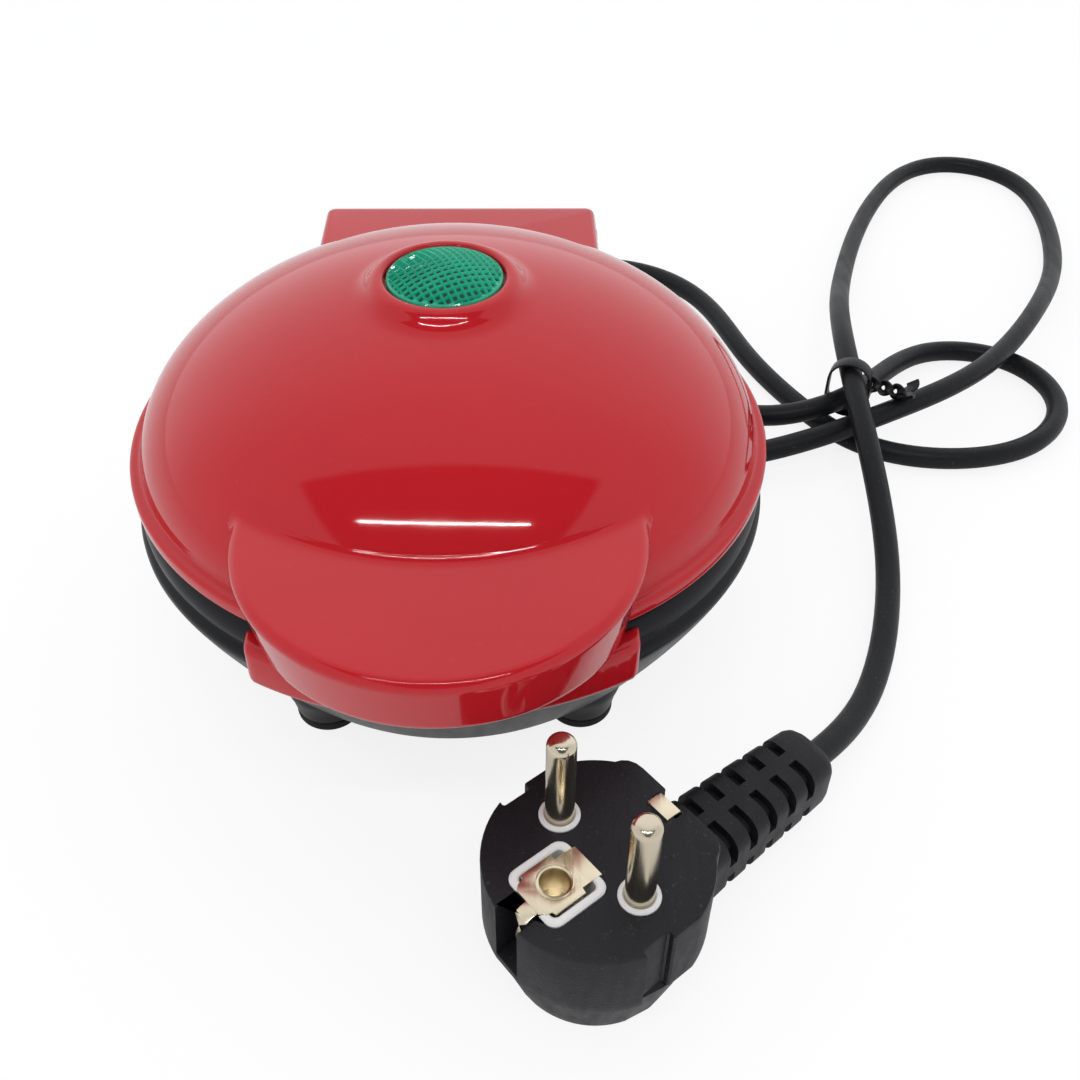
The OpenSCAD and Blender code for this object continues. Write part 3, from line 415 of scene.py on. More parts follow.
class NodeGroups:
    """Effects that several materials share, each built once."""

    made: dict[str, Tree] = {}

    @classmethod
    def start(cls, name: str, inputs: dict[str, float | Rgb], output: str,
              kind: str) -> tuple[Tree, bpy.types.Node, bpy.types.Node]:
        """Makes an empty group.

        Args:
            name: Name of the group.
            inputs: Its inputs with their defaults; a colour is a triple.
            output: Name of its one output.
            kind: Socket type of the output.

        Returns:
            The group, its input node and its output node.
        """
        tree = bpy.data.node_groups.new(name, "ShaderNodeTree")
        for label, value in inputs.items():
            colour = isinstance(value, tuple)
            sort = "NodeSocketColor" if colour else "NodeSocketFloat"
            socket = tree.interface.new_socket(label, in_out="INPUT", socket_type=sort)
            socket.default_value = (*value, 1.0) if colour else value
        tree.interface.new_socket(output, in_out="OUTPUT", socket_type=kind)
        cls.made[name] = tree
        return tree, tree.nodes.new("NodeGroupInput"), tree.nodes.new("NodeGroupOutput")

    @staticmethod
    def noise(tree: Tree, scale: Socket, detail: float,
              stretch: Rgb = (1, 1, 1)) -> Socket:
        """Noise on object coordinates, stretched along an axis where asked.

        Args:
            tree: Group that it goes in.
            scale: Socket that gives its scale.
            detail: Octaves of noise.
            stretch: Factors on the coordinates.

        Returns:
            The noise's value.
        """
        coords = tree.nodes.new("ShaderNodeTexCoord")
        mapping = tree.nodes.new("ShaderNodeMapping")
        mapping.inputs["Scale"].default_value = stretch
        noise = tree.nodes.new("ShaderNodeTexNoise")
        noise.inputs["Detail"].default_value = detail
        tree.links.new(coords.outputs["Object"], mapping.inputs["Vector"])
        tree.links.new(mapping.outputs["Vector"], noise.inputs["Vector"])
        tree.links.new(scale, noise.inputs["Scale"])
        return noise.outputs["Fac"]

    @classmethod
    def relief(cls, kind: Relief) -> Tree:
        """The group that gives a relief's normal.

        Args:
            kind: Which relief.

        Returns:
            The group, with Scale and Depth going in and Normal coming out.
        """
        if kind.value in cls.made:
            return cls.made[kind.value]
        tree, start, end = cls.start(kind.value, {"Scale": 400.0, "Depth": 0.1}, "Normal",
                                     "NodeSocketVector")
        stretch = {Relief.BRUSHED: (1.0, 0.04, 0.04)}.get(kind, (1.0, 1.0, 1.0))
        detail = {Relief.MOULDED: 1.0, Relief.GRAINED: 4.0, Relief.BRUSHED: 3.0,
                  Relief.CAST: 6.0}[kind]
        height = cls.noise(tree, start.outputs["Scale"], detail, stretch)
        if kind is Relief.CAST:
            cells = tree.nodes.new("ShaderNodeTexVoronoi")
            coords = tree.nodes.new("ShaderNodeTexCoord")
            tree.links.new(coords.outputs["Object"], cells.inputs["Vector"])
            tree.links.new(start.outputs["Scale"], cells.inputs["Scale"])
            height = maths(tree, "ADD", cells.outputs["Distance"], height)
        bump = tree.nodes.new("ShaderNodeBump")
        bump.inputs["Distance"].default_value = 0.0004
        tree.links.new(start.outputs["Depth"], bump.inputs["Strength"])
        tree.links.new(height, bump.inputs["Height"])
        tree.links.new(bump.outputs["Normal"], end.inputs["Normal"])
        return tree

    @classmethod
    def tone(cls) -> Tree:
        """The group that drifts slowly between two colours and sprinkles fine dust."""
        if "slow_tone" in cls.made:
            return cls.made["slow_tone"]
        tree, start, end = cls.start(
            "slow_tone", {"Color": (0.5, 0.5, 0.5), "Shade": (0.4, 0.4, 0.4),
                          "Dust": (0.5, 0.5, 0.5), "Scale": 20.0, "Dusting": 0.1},
            "Color", "NodeSocketColor")
        drift = mapped(tree, cls.noise(tree, start.outputs["Scale"], 3.0), 0.35, 0.65)
        tint = blended(tree, drift, start.outputs["Color"], start.outputs["Shade"])
        fine = maths(tree, "MULTIPLY", start.outputs["Scale"], 45.0)
        specks = mapped(tree, cls.noise(tree, fine, 2.0), 0.66, 0.78)
        amount = maths(tree, "MULTIPLY", specks, start.outputs["Dusting"])
        dusted = blended(tree, amount, tint, start.outputs["Dust"])
        tree.links.new(dusted, end.inputs["Color"])
        return tree

    @classmethod
    def handling(cls) -> Tree:
        """The group that lets roughness wander, with faint rubbed patches and hairlines."""
        if "handling" in cls.made:
            return cls.made["handling"]
        tree, start, end = cls.start("handling", {"Roughness": 0.3, "Spread": 0.1, "Scale": 30.0},
                                     "Roughness", "NodeSocketFloat")
        patches = cls.noise(tree, start.outputs["Scale"], 5.0)
        quick = maths(tree, "MULTIPLY", start.outputs["Scale"], 9.0)
        hairs = cls.noise(tree, quick, 2.0, (1.0, 0.06, 0.3))
        worn = mapped(tree, maths(tree, "ADD", patches, hairs), 0.75, 1.3)
        total = maths(tree, "MULTIPLY_ADD", worn, start.outputs["Spread"],
                      start.outputs["Roughness"])
        tree.links.new(total, end.inputs["Roughness"])
        return tree


@dataclass(frozen=True)
class Finish:
    """What a piece is made of, and how its surface looks.

    The slot is the record's material slot. Colours are linear. tone_scale is the size of
    the slow colour drift and relief_scale that of the relief, both per metre.
    """

    slot: str
    colour: Rgb
    shade: Rgb
    roughness: float
    spread: float = 0.08
    relief: Relief = Relief.GRAINED
    relief_scale: float = 900.0
    relief_depth: float = 0.12
    dust: Rgb = (0.32, 0.32, 0.32)
    dusting: float = 0.06
    tone_scale: float = 22.0
    metallic: float = 0.0
    coat: float = 0.0
    coat_roughness: float = 0.05
    transmission: float = 0.0
    ior: float = 1.5
    specular: float = 0.5
    ending: str = "_finish"

    def material(self) -> bpy.types.Material:
        """Builds the finish's material once and returns it."""
        known = bpy.data.materials.get(self.slot + self.ending)
        if known is not None:
            return known
        made = bpy.data.materials.new(self.slot + self.ending)
        made.use_nodes = True
        tree = made.node_tree
        shader = tree.nodes["Principled BSDF"]
        shader.inputs["Metallic"].default_value = self.metallic
        shader.inputs["Coat Weight"].default_value = self.coat
        shader.inputs["Coat Roughness"].default_value = self.coat_roughness
        shader.inputs["Transmission Weight"].default_value = self.transmission
        shader.inputs["IOR"].default_value = self.ior
        shader.inputs["Specular IOR Level"].default_value = self.specular
        tone = self.place(tree, NodeGroups.tone(), {
            "Color": (*self.colour, 1.0), "Shade": (*self.shade, 1.0), "Dust": (*self.dust, 1.0),
            "Scale": self.tone_scale, "Dusting": self.dusting})
        rub = self.place(tree, NodeGroups.handling(), {
            "Roughness": self.roughness, "Spread": self.spread, "Scale": self.tone_scale * 2})
        skin = self.place(tree, NodeGroups.relief(self.relief), {
            "Scale": self.relief_scale, "Depth": self.relief_depth})
        tree.links.new(tone.outputs["Color"], shader.inputs["Base Color"])
        tree.links.new(rub.outputs["Roughness"], shader.inputs["Roughness"])
        tree.links.new(skin.outputs["Normal"], shader.inputs["Normal"])
        made.diffuse_color = (*self.colour, 1.0)
        return made

    @staticmethod
    def place(tree: Tree, group: Tree,
              values: dict[str, object]) -> bpy.types.Node:
        """Puts a group in a material with its own values.

        Args:
            tree: The material's nodes.
            group: The group.
            values: Values of its inputs by name.

        Returns:
            The group's node.
        """
        node = tree.nodes.new("ShaderNodeGroup")
        node.node_tree = group
        for name, value in values.items():
            node.inputs[name].default_value = value
        return node


RED_GLOSS = Finish("red_gloss", (0.52, 0.012, 0.019), (0.48, 0.010, 0.017), 0.05, 0.03,
                   Relief.MOULDED, 130.0, 0.03, (0.6, 0.3, 0.3), 0.02, 14.0, specular=0.36)
BLACK_GLOSS = Finish("black_gloss", (0.006, 0.0065, 0.008), (0.009, 0.0095, 0.012), 0.27, 0.1,
                     Relief.MOULDED, 170.0, 0.05, (0.2, 0.2, 0.21), 0.05, 18.0, specular=0.2)
BLACK_HEATPROOF = Finish("black_heatproof", (0.020, 0.020, 0.022), (0.030, 0.029, 0.030), 0.5, 0.14,
                         Relief.GRAINED, 1500.0, 0.25)
NONSTICK = Finish("nonstick", (0.030, 0.030, 0.032), (0.046, 0.045, 0.045), 0.32, 0.16,
                  Relief.CAST, 2600.0, 0.10, (0.42, 0.41, 0.40), 0.35, 30.0, metallic=0.25)
ELEMENT_SHEATH = Finish("element_sheath", (0.27, 0.24, 0.22), (0.17, 0.16, 0.19), 0.34, 0.2,
                        Relief.BRUSHED, 2200.0, 0.2, metallic=1.0)
BRIGHT_STEEL = Finish("bright_steel", (0.60, 0.60, 0.61), (0.52, 0.52, 0.54), 0.26, 0.16,
                      Relief.BRUSHED, 2600.0, 0.14, metallic=1.0)
SHIELD_SHEET = Finish("shield_sheet", (0.66, 0.66, 0.67), (0.55, 0.55, 0.57), 0.36, 0.18,
                      Relief.BRUSHED, 900.0, 0.25, metallic=1.0)
WHITE_CERAMIC = Finish("white_ceramic", (0.72, 0.69, 0.62), (0.66, 0.62, 0.54), 0.45, 0.2,
                       Relief.CAST, 1800.0, 0.12)
CREAM_PLASTIC = Finish("cream_plastic", (0.74, 0.70, 0.60), (0.68, 0.64, 0.54), 0.42)
WIRE_SLEEVE = Finish("wire_sleeve", (0.16, 0.15, 0.15), (0.11, 0.10, 0.10), 0.5, 0.12,
                     Relief.GRAINED, 2600.0, 0.2)
FOOT_RUBBER = Finish("foot_rubber", (0.007, 0.007, 0.008), (0.011, 0.011, 0.012), 0.6, 0.16,
                     Relief.GRAINED, 1700.0, 0.3, specular=0.3)
CORD_BLACK = Finish("cord_black", (0.009, 0.0095, 0.012), (0.013, 0.0135, 0.016), 0.34, 0.14,
                    Relief.GRAINED, 1300.0, 0.16, (0.3, 0.3, 0.31), 0.1, 26.0, specular=0.16)
TIE_BLACK = Finish("tie_black", (0.007, 0.007, 0.009), (0.012, 0.012, 0.014), 0.3, 0.14,
                   specular=0.2)
PLUG_BLACK = Finish("plug_black", (0.009, 0.009, 0.012), (0.013, 0.013, 0.016), 0.4, 0.16,
                    Relief.GRAINED, 2100.0, 0.22, (0.34, 0.33, 0.32), 0.1, 34.0, specular=0.24)
PLUG_WHITE = Finish("plug_white", (0.84, 0.84, 0.83), (0.78, 0.78, 0.77), 0.36, 0.12,
                    Relief.MOULDED, 600.0, 0.1, (0.5, 0.48, 0.45), 0.12)
PIN_METAL = Finish("pin_metal", (0.66, 0.59, 0.46), (0.58, 0.51, 0.39), 0.13, 0.14,
                   Relief.BRUSHED, 3000.0, 0.06, (0.4, 0.36, 0.28), 0.1, metallic=1.0)
EARTH_METAL = Finish("earth_metal", (0.80, 0.72, 0.55), (0.72, 0.63, 0.46), 0.24, 0.16,
                     Relief.BRUSHED, 1800.0, 0.12, (0.42, 0.34, 0.22), 0.2, metallic=1.0)
GREEN_LENS = Finish("green_lens", (0.018, 0.52, 0.31), (0.010, 0.40, 0.24), 0.08, 0.05,
                    Relief.MOULDED, 700.0, 0.05, (0.2, 0.8, 0.6), 0.08, 90.0,
                    coat=0.25, transmission=0.1, specular=0.35)
# Painted shade: a dark green for the bottoms of the lens's prism pits, standing in for the shade
# that falls in them.
GREEN_PIT_SHADE = Finish("green_lens", (0.002, 0.08, 0.055), (0.0015, 0.05, 0.035), 0.14, 0.05,
                     Relief.MOULDED, 700.0, 0.05, (0.1, 0.5, 0.4), 0.08, 90.0,
                     transmission=0.1, specular=0.2, ending="_depth")
LAMP_GLASS = Finish("lamp_glass", (0.80, 0.72, 0.62), (0.72, 0.62, 0.50), 0.12, 0.08,
                    Relief.MOULDED, 900.0, 0.05, transmission=0.5)


# ---------------------------------------------------------------- studio


@dataclass
class Studio:
    """Camera, floor and soft light; the camera stands where the photograph was taken."""

    eye: Rgb = (0.0120073, -0.1980194, 0.1941283)
    down: float = 0.732993
    left: float = 0.0293316
    roll: float = 0.012232
    lens: float = 1233.81 / 1080 * 36
    floor_half: float = 6.0
    floor_white: float = 0.82
    bright: float = 0.91
    dim: float = 0.12

    def build(self) -> None:
        """Makes the camera first, then the floor, the world and the lamp."""
        self.camera()
        self.floor()
        self.world()
        self.lamp("overhead_strip", (-0.03, -0.56, 1.06), (0.0, -0.05, 0.06), (1.02, 0.013), 4.4)

    def camera(self) -> None:
        """Places the camera from its eye point, tilt, turn and roll."""
        ahead = Vector((math.sin(self.left) * math.cos(self.down),
                        math.cos(self.left) * math.cos(self.down), -math.sin(self.down)))
        right = Vector((math.cos(self.left), -math.sin(self.left), 0))
        up = right.cross(ahead)
        c, s = math.cos(self.roll), math.sin(self.roll)
        turned, raised = right * c + up * s, up * c - right * s
        data = bpy.data.cameras.new("camera")
        data.lens = self.lens
        data.sensor_width = 36.0
        data.clip_start, data.clip_end = 0.01, 50.0
        camera = bpy.data.objects.new("camera", data)
        rows = [(turned[k], raised[k], -ahead[k], self.eye[k]) for k in range(3)]
        camera.matrix_world = Matrix((*rows, (0, 0, 0, 1)))
        bpy.context.scene.collection.objects.link(camera)
        bpy.context.scene.camera = camera
        bpy.context.scene.view_settings.view_transform = "Standard"

    @staticmethod
    def seen(tree: Tree) -> Socket:
        """How far a ray sees the background: in full, or in part where it is glossy."""
        path = tree.nodes.new("ShaderNodeLightPath")
        mirrored = maths(tree, "MULTIPLY", path.outputs["Is Glossy Ray"], 0.32)
        value = maths(tree, "MAXIMUM", path.outputs["Is Camera Ray"], mirrored)
        return maths(tree, "MAXIMUM", value, path.outputs["Is Transmission Ray"])

    def floor(self) -> None:
        """A pale floor that shows white and keeps the object's shadow."""
        part = bmesh.new()
        bmesh.ops.create_grid(part, x_segments=2, y_segments=2, size=self.floor_half)
        mesh = bpy.data.meshes.new("floor")
        part.to_mesh(mesh)
        part.free()
        floor = bpy.data.objects.new("floor", mesh)
        bpy.context.scene.collection.objects.link(floor)
        paint = bpy.data.materials.new("floor_paint")
        paint.use_nodes = True
        tree = paint.node_tree
        tree.nodes.clear()
        lit = tree.nodes.new("ShaderNodeBsdfDiffuse")
        lit.inputs["Color"].default_value = (0.93, 0.93, 0.93, 1)
        white = tree.nodes.new("ShaderNodeEmission")
        white.inputs["Strength"].default_value = 1.03
        mix = tree.nodes.new("ShaderNodeMixShader")
        share = maths(tree, "MULTIPLY", self.seen(tree), self.floor_white)
        tree.links.new(share, mix.inputs["Fac"])
        tree.links.new(lit.outputs["BSDF"], mix.inputs[1])
        tree.links.new(white.outputs["Emission"], mix.inputs[2])
        out = tree.nodes.new("ShaderNodeOutputMaterial")
        tree.links.new(mix.outputs["Shader"], out.inputs["Surface"])
        mesh.materials.append(paint)

    def world(self) -> None:
        """Bright air all round but for a dim wedge high in front, seen as white behind."""
        world = bpy.data.worlds.new("studio_air")
        world.use_nodes = True
        tree = world.node_tree
        tree.nodes.clear()
        coords = tree.nodes.new("ShaderNodeTexCoord")
        split = tree.nodes.new("ShaderNodeSeparateXYZ")
        tree.links.new(coords.outputs["Generated"], split.inputs["Vector"])
        x, y, z = (split.outputs[k] for k in "XYZ")
        beside = maths(tree, "MULTIPLY_ADD", z, -0.82, maths(tree, "ABSOLUTE", x))
        wedge = maths(tree, "MULTIPLY", mapped(tree, y, -0.05, -0.09, soft=True),
                      mapped(tree, beside, 0.03, -0.03, soft=True))
        wedge = maths(tree, "MULTIPLY", wedge, mapped(tree, z, 0.2, 0.34, soft=True))
        behind = maths(tree, "MULTIPLY_ADD", mapped(tree, y, 0.1, 0.6, soft=True), 0.35, 1.0)
        front = mapped(tree, wedge, 0.0, 1.0, (self.bright, self.dim))
        strength = maths(tree, "MULTIPLY", front, behind)
        air = tree.nodes.new("ShaderNodeBackground")
        air.inputs["Color"].default_value = (0.97, 0.98, 1.0, 1)
        tree.links.new(strength, air.inputs["Strength"])
        white = tree.nodes.new("ShaderNodeBackground")
        white.inputs["Color"].default_value = (1, 1, 1, 1)
        mix = tree.nodes.new("ShaderNodeMixShader")
        path = tree.nodes.new("ShaderNodeLightPath")
        tree.links.new(path.outputs["Is Camera Ray"], mix.inputs["Fac"])
        tree.links.new(air.outputs["Background"], mix.inputs[1])
        tree.links.new(white.outputs["Background"], mix.inputs[2])
        out = tree.nodes.new("ShaderNodeOutputWorld")
        tree.links.new(mix.outputs["Shader"], out.inputs["Surface"])
        bpy.context.scene.world = world

    @staticmethod
    def lamp(name: str, place: Rgb, aim: Rgb, size: Point2, power: float) -> None:
        """A rectangular lamp that faces a point.

        Args:
            name: Its name.
            place: Where it hangs.
            aim: Point that it faces.
            size: Its width and height.
            power: Its power in watts.
        """
        data = bpy.data.lights.new(name, "AREA")
        data.shape = "RECTANGLE"
        data.size, data.size_y = size
        data.energy = power
        lamp = bpy.data.objects.new(name, data)
        lamp.location = place
        lamp.rotation_euler = (Vector(aim) - Vector(place)).to_track_quat("-Z", "Y").to_euler()
        bpy.context.scene.collection.objects.link(lamp)


# ---------------------------------------------------------------- lid


@dataclass
class Dome:
    """Outer and inner curve of the lid, in millimetres."""

    radius: float = 59.6
    foot: float = 48.2
    height: float = 31.0
    power: float = 1.83
    wall: float = 2.2

    def rise(self, r: float, inset: float = 0.0) -> float:
        """Height of the curve above the table at a radius, drawn in by an inset."""
        share = min(r / (self.radius - inset), 1.0)
        return self.foot + (self.height - inset) * (1 - share ** self.power) ** (1 / self.power)

    def reach(self, z: float) -> float:
        """Radius of the outer curve at a height."""
        share = min(max((z - self.foot) / self.height, 0.0), 1.0)
        return self.radius * (1 - share ** self.power) ** (1 / self.power)

    def outside(self, p: Vector) -> float:
        """Rough distance of a point outside the outer curve; below zero inside it."""
        r = math.hypot(p.x, p.y)
        if p.z <= self.foot:
            return r - self.radius
        a, b = r / self.radius, (p.z - self.foot) / self.height
        value = a ** self.power + b ** self.power - 1
        slope = math.hypot(self.power * a ** (self.power - 1) / self.radius,
                           self.power * b ** (self.power - 1) / self.height)
        return value / max(slope, 1e-9)


@dataclass
class Lid:
    """The red lid: dome with its lip and lamp ring, crescent handle and hinge cover."""

    dome: Dome = field(default_factory=Dome)
    lip_z: float = 45.0
    lens_seat_r: float = 11.1
    lens_hole_r: float = 9.1
    seat_z: float = 78.6
    ring_top: float = 80.6
    puck_r: float = 34.6
    puck_y: float = -45.4
    puck_top: float = 59.6
    puck_bottom: float = 46.9
    puck_drop: float = 1.7
    puck_lean: float = 2.4
    puck_round: float = 1.8
    puck_wall: float = 2.4
    puck_end: float = 97.0
    blend: float = 1.1
    cover_half: float = 32.6
    cover_back: float = 80.0
    cover_top: float = 54.3
    cover_corner: float = 3.0
    cover_round: float = 4.0
    ear: float = 4.0
    hinge_y: float = 70.0
    hinge_z: float = 45.5
    barrel_r: float = 6.6
    bore_r: float = 2.05
    arch_r: float = 4.3

    def build(self) -> None:
        """Builds the lid's pieces."""
        self.shell()
        self.handle()
        self.cover()

    def shell(self) -> Piece:
        """The dome with its lip, the ring round the lamp and the posts inside."""
        d, form = self.dome, Form()
        foot = d.foot
        profile = [(57.6, self.lip_z), (61.3, self.lip_z)]
        profile += arc((61.3, self.lip_z + 0.7), 0.7, -70, 0, 4)
        profile += arc((61.1, foot - 0.9), 0.9, 0, 90, 5)
        profile += arc((60.6, foot + 0.9), 0.9, 270, 190, 4)
        profile += [(d.radius * math.cos(t), d.rise(d.radius * math.cos(t)))
                    for t in (math.radians(a) for a in spread(3.6, 73.2, 72))]
        profile += [(16.6, d.rise(16.6) + 0.06), (15.9, d.rise(15.9) + 0.24), (15.2, 78.28),
                    (14.6, 78.75), (14.1, 79.3), (13.6, 79.86), (13.1, 80.26), (12.5, 80.52),
                    (11.9, self.ring_top), (11.5, 80.52), (11.24, 80.3), (self.lens_seat_r, 79.9),
                    (self.lens_seat_r, self.seat_z), (self.lens_hole_r, self.seat_z)]
        profile += [(r, d.rise(r, d.wall)) for r in spread(self.lens_hole_r, 57.2, 24)]
        profile += [(57.4, foot), (57.4, self.lip_z + 0.3)]
        form.spun(profile, 256)
        post = [(1.3, 60.0), (4.6, 60.0), (4.8, 60.3), (4.8, 66.9), (1.3, 66.9)]
        for x, y in post_middles():
            form.spun(post, 32, Matrix.Translation((x, y, 0)))
        return form.finish("lid_dome", Body.LID, RED_GLOSS, ["lid_shell"])

    def softened(self, p: Vector, n: Vector) -> Vector:
        """Moves a point of the handle out where it nears the dome, so that the two blend.

        Args:
            p: Point on the plain handle.
            n: Direction that its surface faces.

        Returns:
            The point on the filleted handle, kept just inside the dome's wall.
        """
        k = self.blend
        low, high = 0.0, k
        if self.dome.outside(p + n * k) > 0:
            for _ in range(24):
                mid = (low + high) / 2
                gap = max(self.dome.outside(p + n * mid), 0.0)
                wanted = (math.sqrt(k) - math.sqrt(min(gap, k))) ** 2
                low, high = (mid, high) if mid < wanted else (low, mid)
            moved = p + n * high
        else:
            moved = p + n * k
        return self.buried(moved)

    def buried(self, p: Vector) -> Vector:
        """Keeps a point that lies inside the lid within the thickness of its wall."""
        r = math.hypot(p.x, p.y)
        least = self.dome.reach(p.z) - 1.3
        if r < least:
            p = Vector((p.x * least / r, p.y * least / r, p.z))
        return p

    def handle_ring(self, turn: float) -> list[Vector]:
        """Section of the handle at an angle about its own middle.

        Args:
            turn: Angle from the front, in degrees.

        Returns:
            The closed section: top, rounded edge, side, foot, inside wall and ceiling.
        """
        a = math.radians(turn)
        out = Vector((math.sin(a), -math.cos(a), 0))
        middle = Vector((0, self.puck_y, 0))
        top, e = self.puck_top, self.puck_round

        def at(r: float, z: float) -> Vector:
            return middle + out * r + Vector((0, 0, z))

        def inner(p: Vector, radius: float) -> Vector:
            return Vector((p.x, p.y, 0)).normalized() * radius + Vector((0, 0, p.z))

        ring: list[Vector] = []
        edge = at(self.puck_r - e, top)
        start = inner(edge, 52.4)
        up = Vector((0, 0, 1))
        for t in spread(0, 0.13, 14) + spread(0.18, 1, 11):
            ring.append(self.softened(start.lerp(edge, t), up))
        for b in range(80, -1, -10):
            c, s = math.cos(math.radians(b)), math.sin(math.radians(b))
            n = (out * c + up * s).normalized()
            ring.append(self.softened(at(self.puck_r - e + e * c, top - e + e * s), n))
        bottom = self.puck_bottom - self.puck_drop * min(abs(turn) / 62, 1) ** 2
        fall = top - e - bottom
        for t in spread(0.08, 0.95, 12):
            wall = at(self.puck_r - self.puck_lean * t, top - e - fall * t)
            ring.append(self.softened(wall, out))
        foot = self.puck_r - self.puck_lean
        ring += [self.buried(at(foot - 0.2, bottom + 0.08)), self.buried(at(foot - 0.6, bottom)),
                 self.buried(at(foot - self.puck_wall + 0.3, bottom)),
                 self.buried(at(foot - self.puck_wall, bottom + 0.3))]
        inside = self.puck_r - self.puck_wall
        ring += [self.buried(at(inside - 0.9, 54.6)), self.buried(at(inside - 1.0, 56.2)),
                 self.buried(at(inside - 1.6, 57.0)), self.buried(at(inside - 2.6, 57.2))]
        last = self.buried(at(inside - 2.6, 57.2))
        ring += [last.lerp(inner(last, 54.8), t) for t in (0.3, 0.6, 1.0)]
        return ring

    def handle(self) -> Piece:
        """The crescent handle, hollow below, with a fillet where it leaves the dome."""
        form = Form()
        steps = 120
        quarters = [math.pi / 2 * t for t in spread(-1, 1, steps)]
        form.loft([self.handle_ring(self.puck_end * math.sin(q)) for q in quarters])
        return form.finish("lid_handle", Body.LID, RED_GLOSS, sharp=50)

    def cover_ring(self, side: float, rear: float, front_r: float,
                   height: Callable[[float], float]) -> list[Vector]:
        """One level of the hinge cover, seen from above.

        Args:
            side: Inset of its two sides.
            rear: Inset of its back.
            front_r: Radius of its front, which lies in the dome's wall.
            height: Height of the ring at a distance behind the middle.

        Returns:
            The closed ring.
        """
        w, back = self.cover_half - side, self.cover_back - rear
        c = max(self.cover_corner - rear * 0.5, 0.6)
        y0 = math.sqrt(front_r ** 2 - w ** 2)
        flat = [(w, y0 + (back - c - y0) * t) for t in spread(0, 0.98, 14)]
        flat += arc((w - c, back - c), c, 0, 90, 6)
        flat += [(w - c - (2 * w - 2 * c) * t, back) for t in spread(0.05, 0.95, 8)]
        flat += arc((c - w, back - c), c, 90, 180, 6)
        flat += [(-w, y0 + (back - c - y0) * t) for t in reversed(spread(0, 0.98, 14))]
        a = math.asin(w / front_r)
        flat += [(front_r * math.sin(b), front_r * math.cos(b))
                 for b in spread(-a * 0.92, a * 0.92, 16)]
        return [Vector((x, y, height(y))) for x, y in flat]

    def cover_foot(self, y: float) -> float:
        """Height of the cover's lower edge behind the middle, arched clear of the hinge pins."""
        behind, arch = y - self.hinge_y, 0.0
        if abs(behind) < self.arch_r:
            arch = self.hinge_z + math.sqrt(self.arch_r ** 2 - behind ** 2)
        if behind > 0:
            return max(arch, self.hinge_z + 4.0 * behind / (self.cover_back - self.hinge_y))
        return max(arch, 45.0 + 0.5 * max(0.0, (y - 62.0) / 8.0))

    def cover(self) -> Piece:
        """The flat cover over the hinge, open below, with an ear at each side."""
        form, e = Form(), self.cover_round
        roof = self.cover_top - 2.4
        rings = [self.cover_ring(self.ear + 0.6, 3.0, 59.0, lambda y: roof),
                 self.cover_ring(self.ear, 2.4, 59.0, lambda y: roof - 0.6),
                 self.cover_ring(self.ear, 2.4, 59.0, self.cover_foot),
                 self.cover_ring(0.35, 0.35, 58.2, self.cover_foot),
                 self.cover_ring(0.0, 0.0, 58.2, lambda y: self.cover_foot(y) + 0.35),
                 self.cover_ring(0.0, 0.0, 57.6, lambda y: self.cover_top - e)]
        for i in range(1, 9):
            a = math.pi / 2 * i / 8
            lift, drawn = self.cover_top - e + e * math.sin(a), 1 - math.cos(a)
            rings.append(self.cover_ring(1.6 * drawn, e * drawn, 57.2, lambda y, z=lift: z))
        form.loft(rings)
        bore, barrel, deep = self.bore_r, self.barrel_r, self.ear
        ear = [(bore, 0.3), (bore + 0.3, 0), (barrel - 0.4, 0), (barrel, 0.4), (barrel, deep - 0.4),
               (barrel - 0.4, deep), (bore + 0.3, deep), (bore, deep - 0.3)]
        for x in (self.cover_half - self.ear, -self.cover_half):
            form.spun(ear, 48, along((x, self.hinge_y, self.hinge_z), (1, 0, 0)))
        return form.finish("hinge_cover", Body.LID, RED_GLOSS)


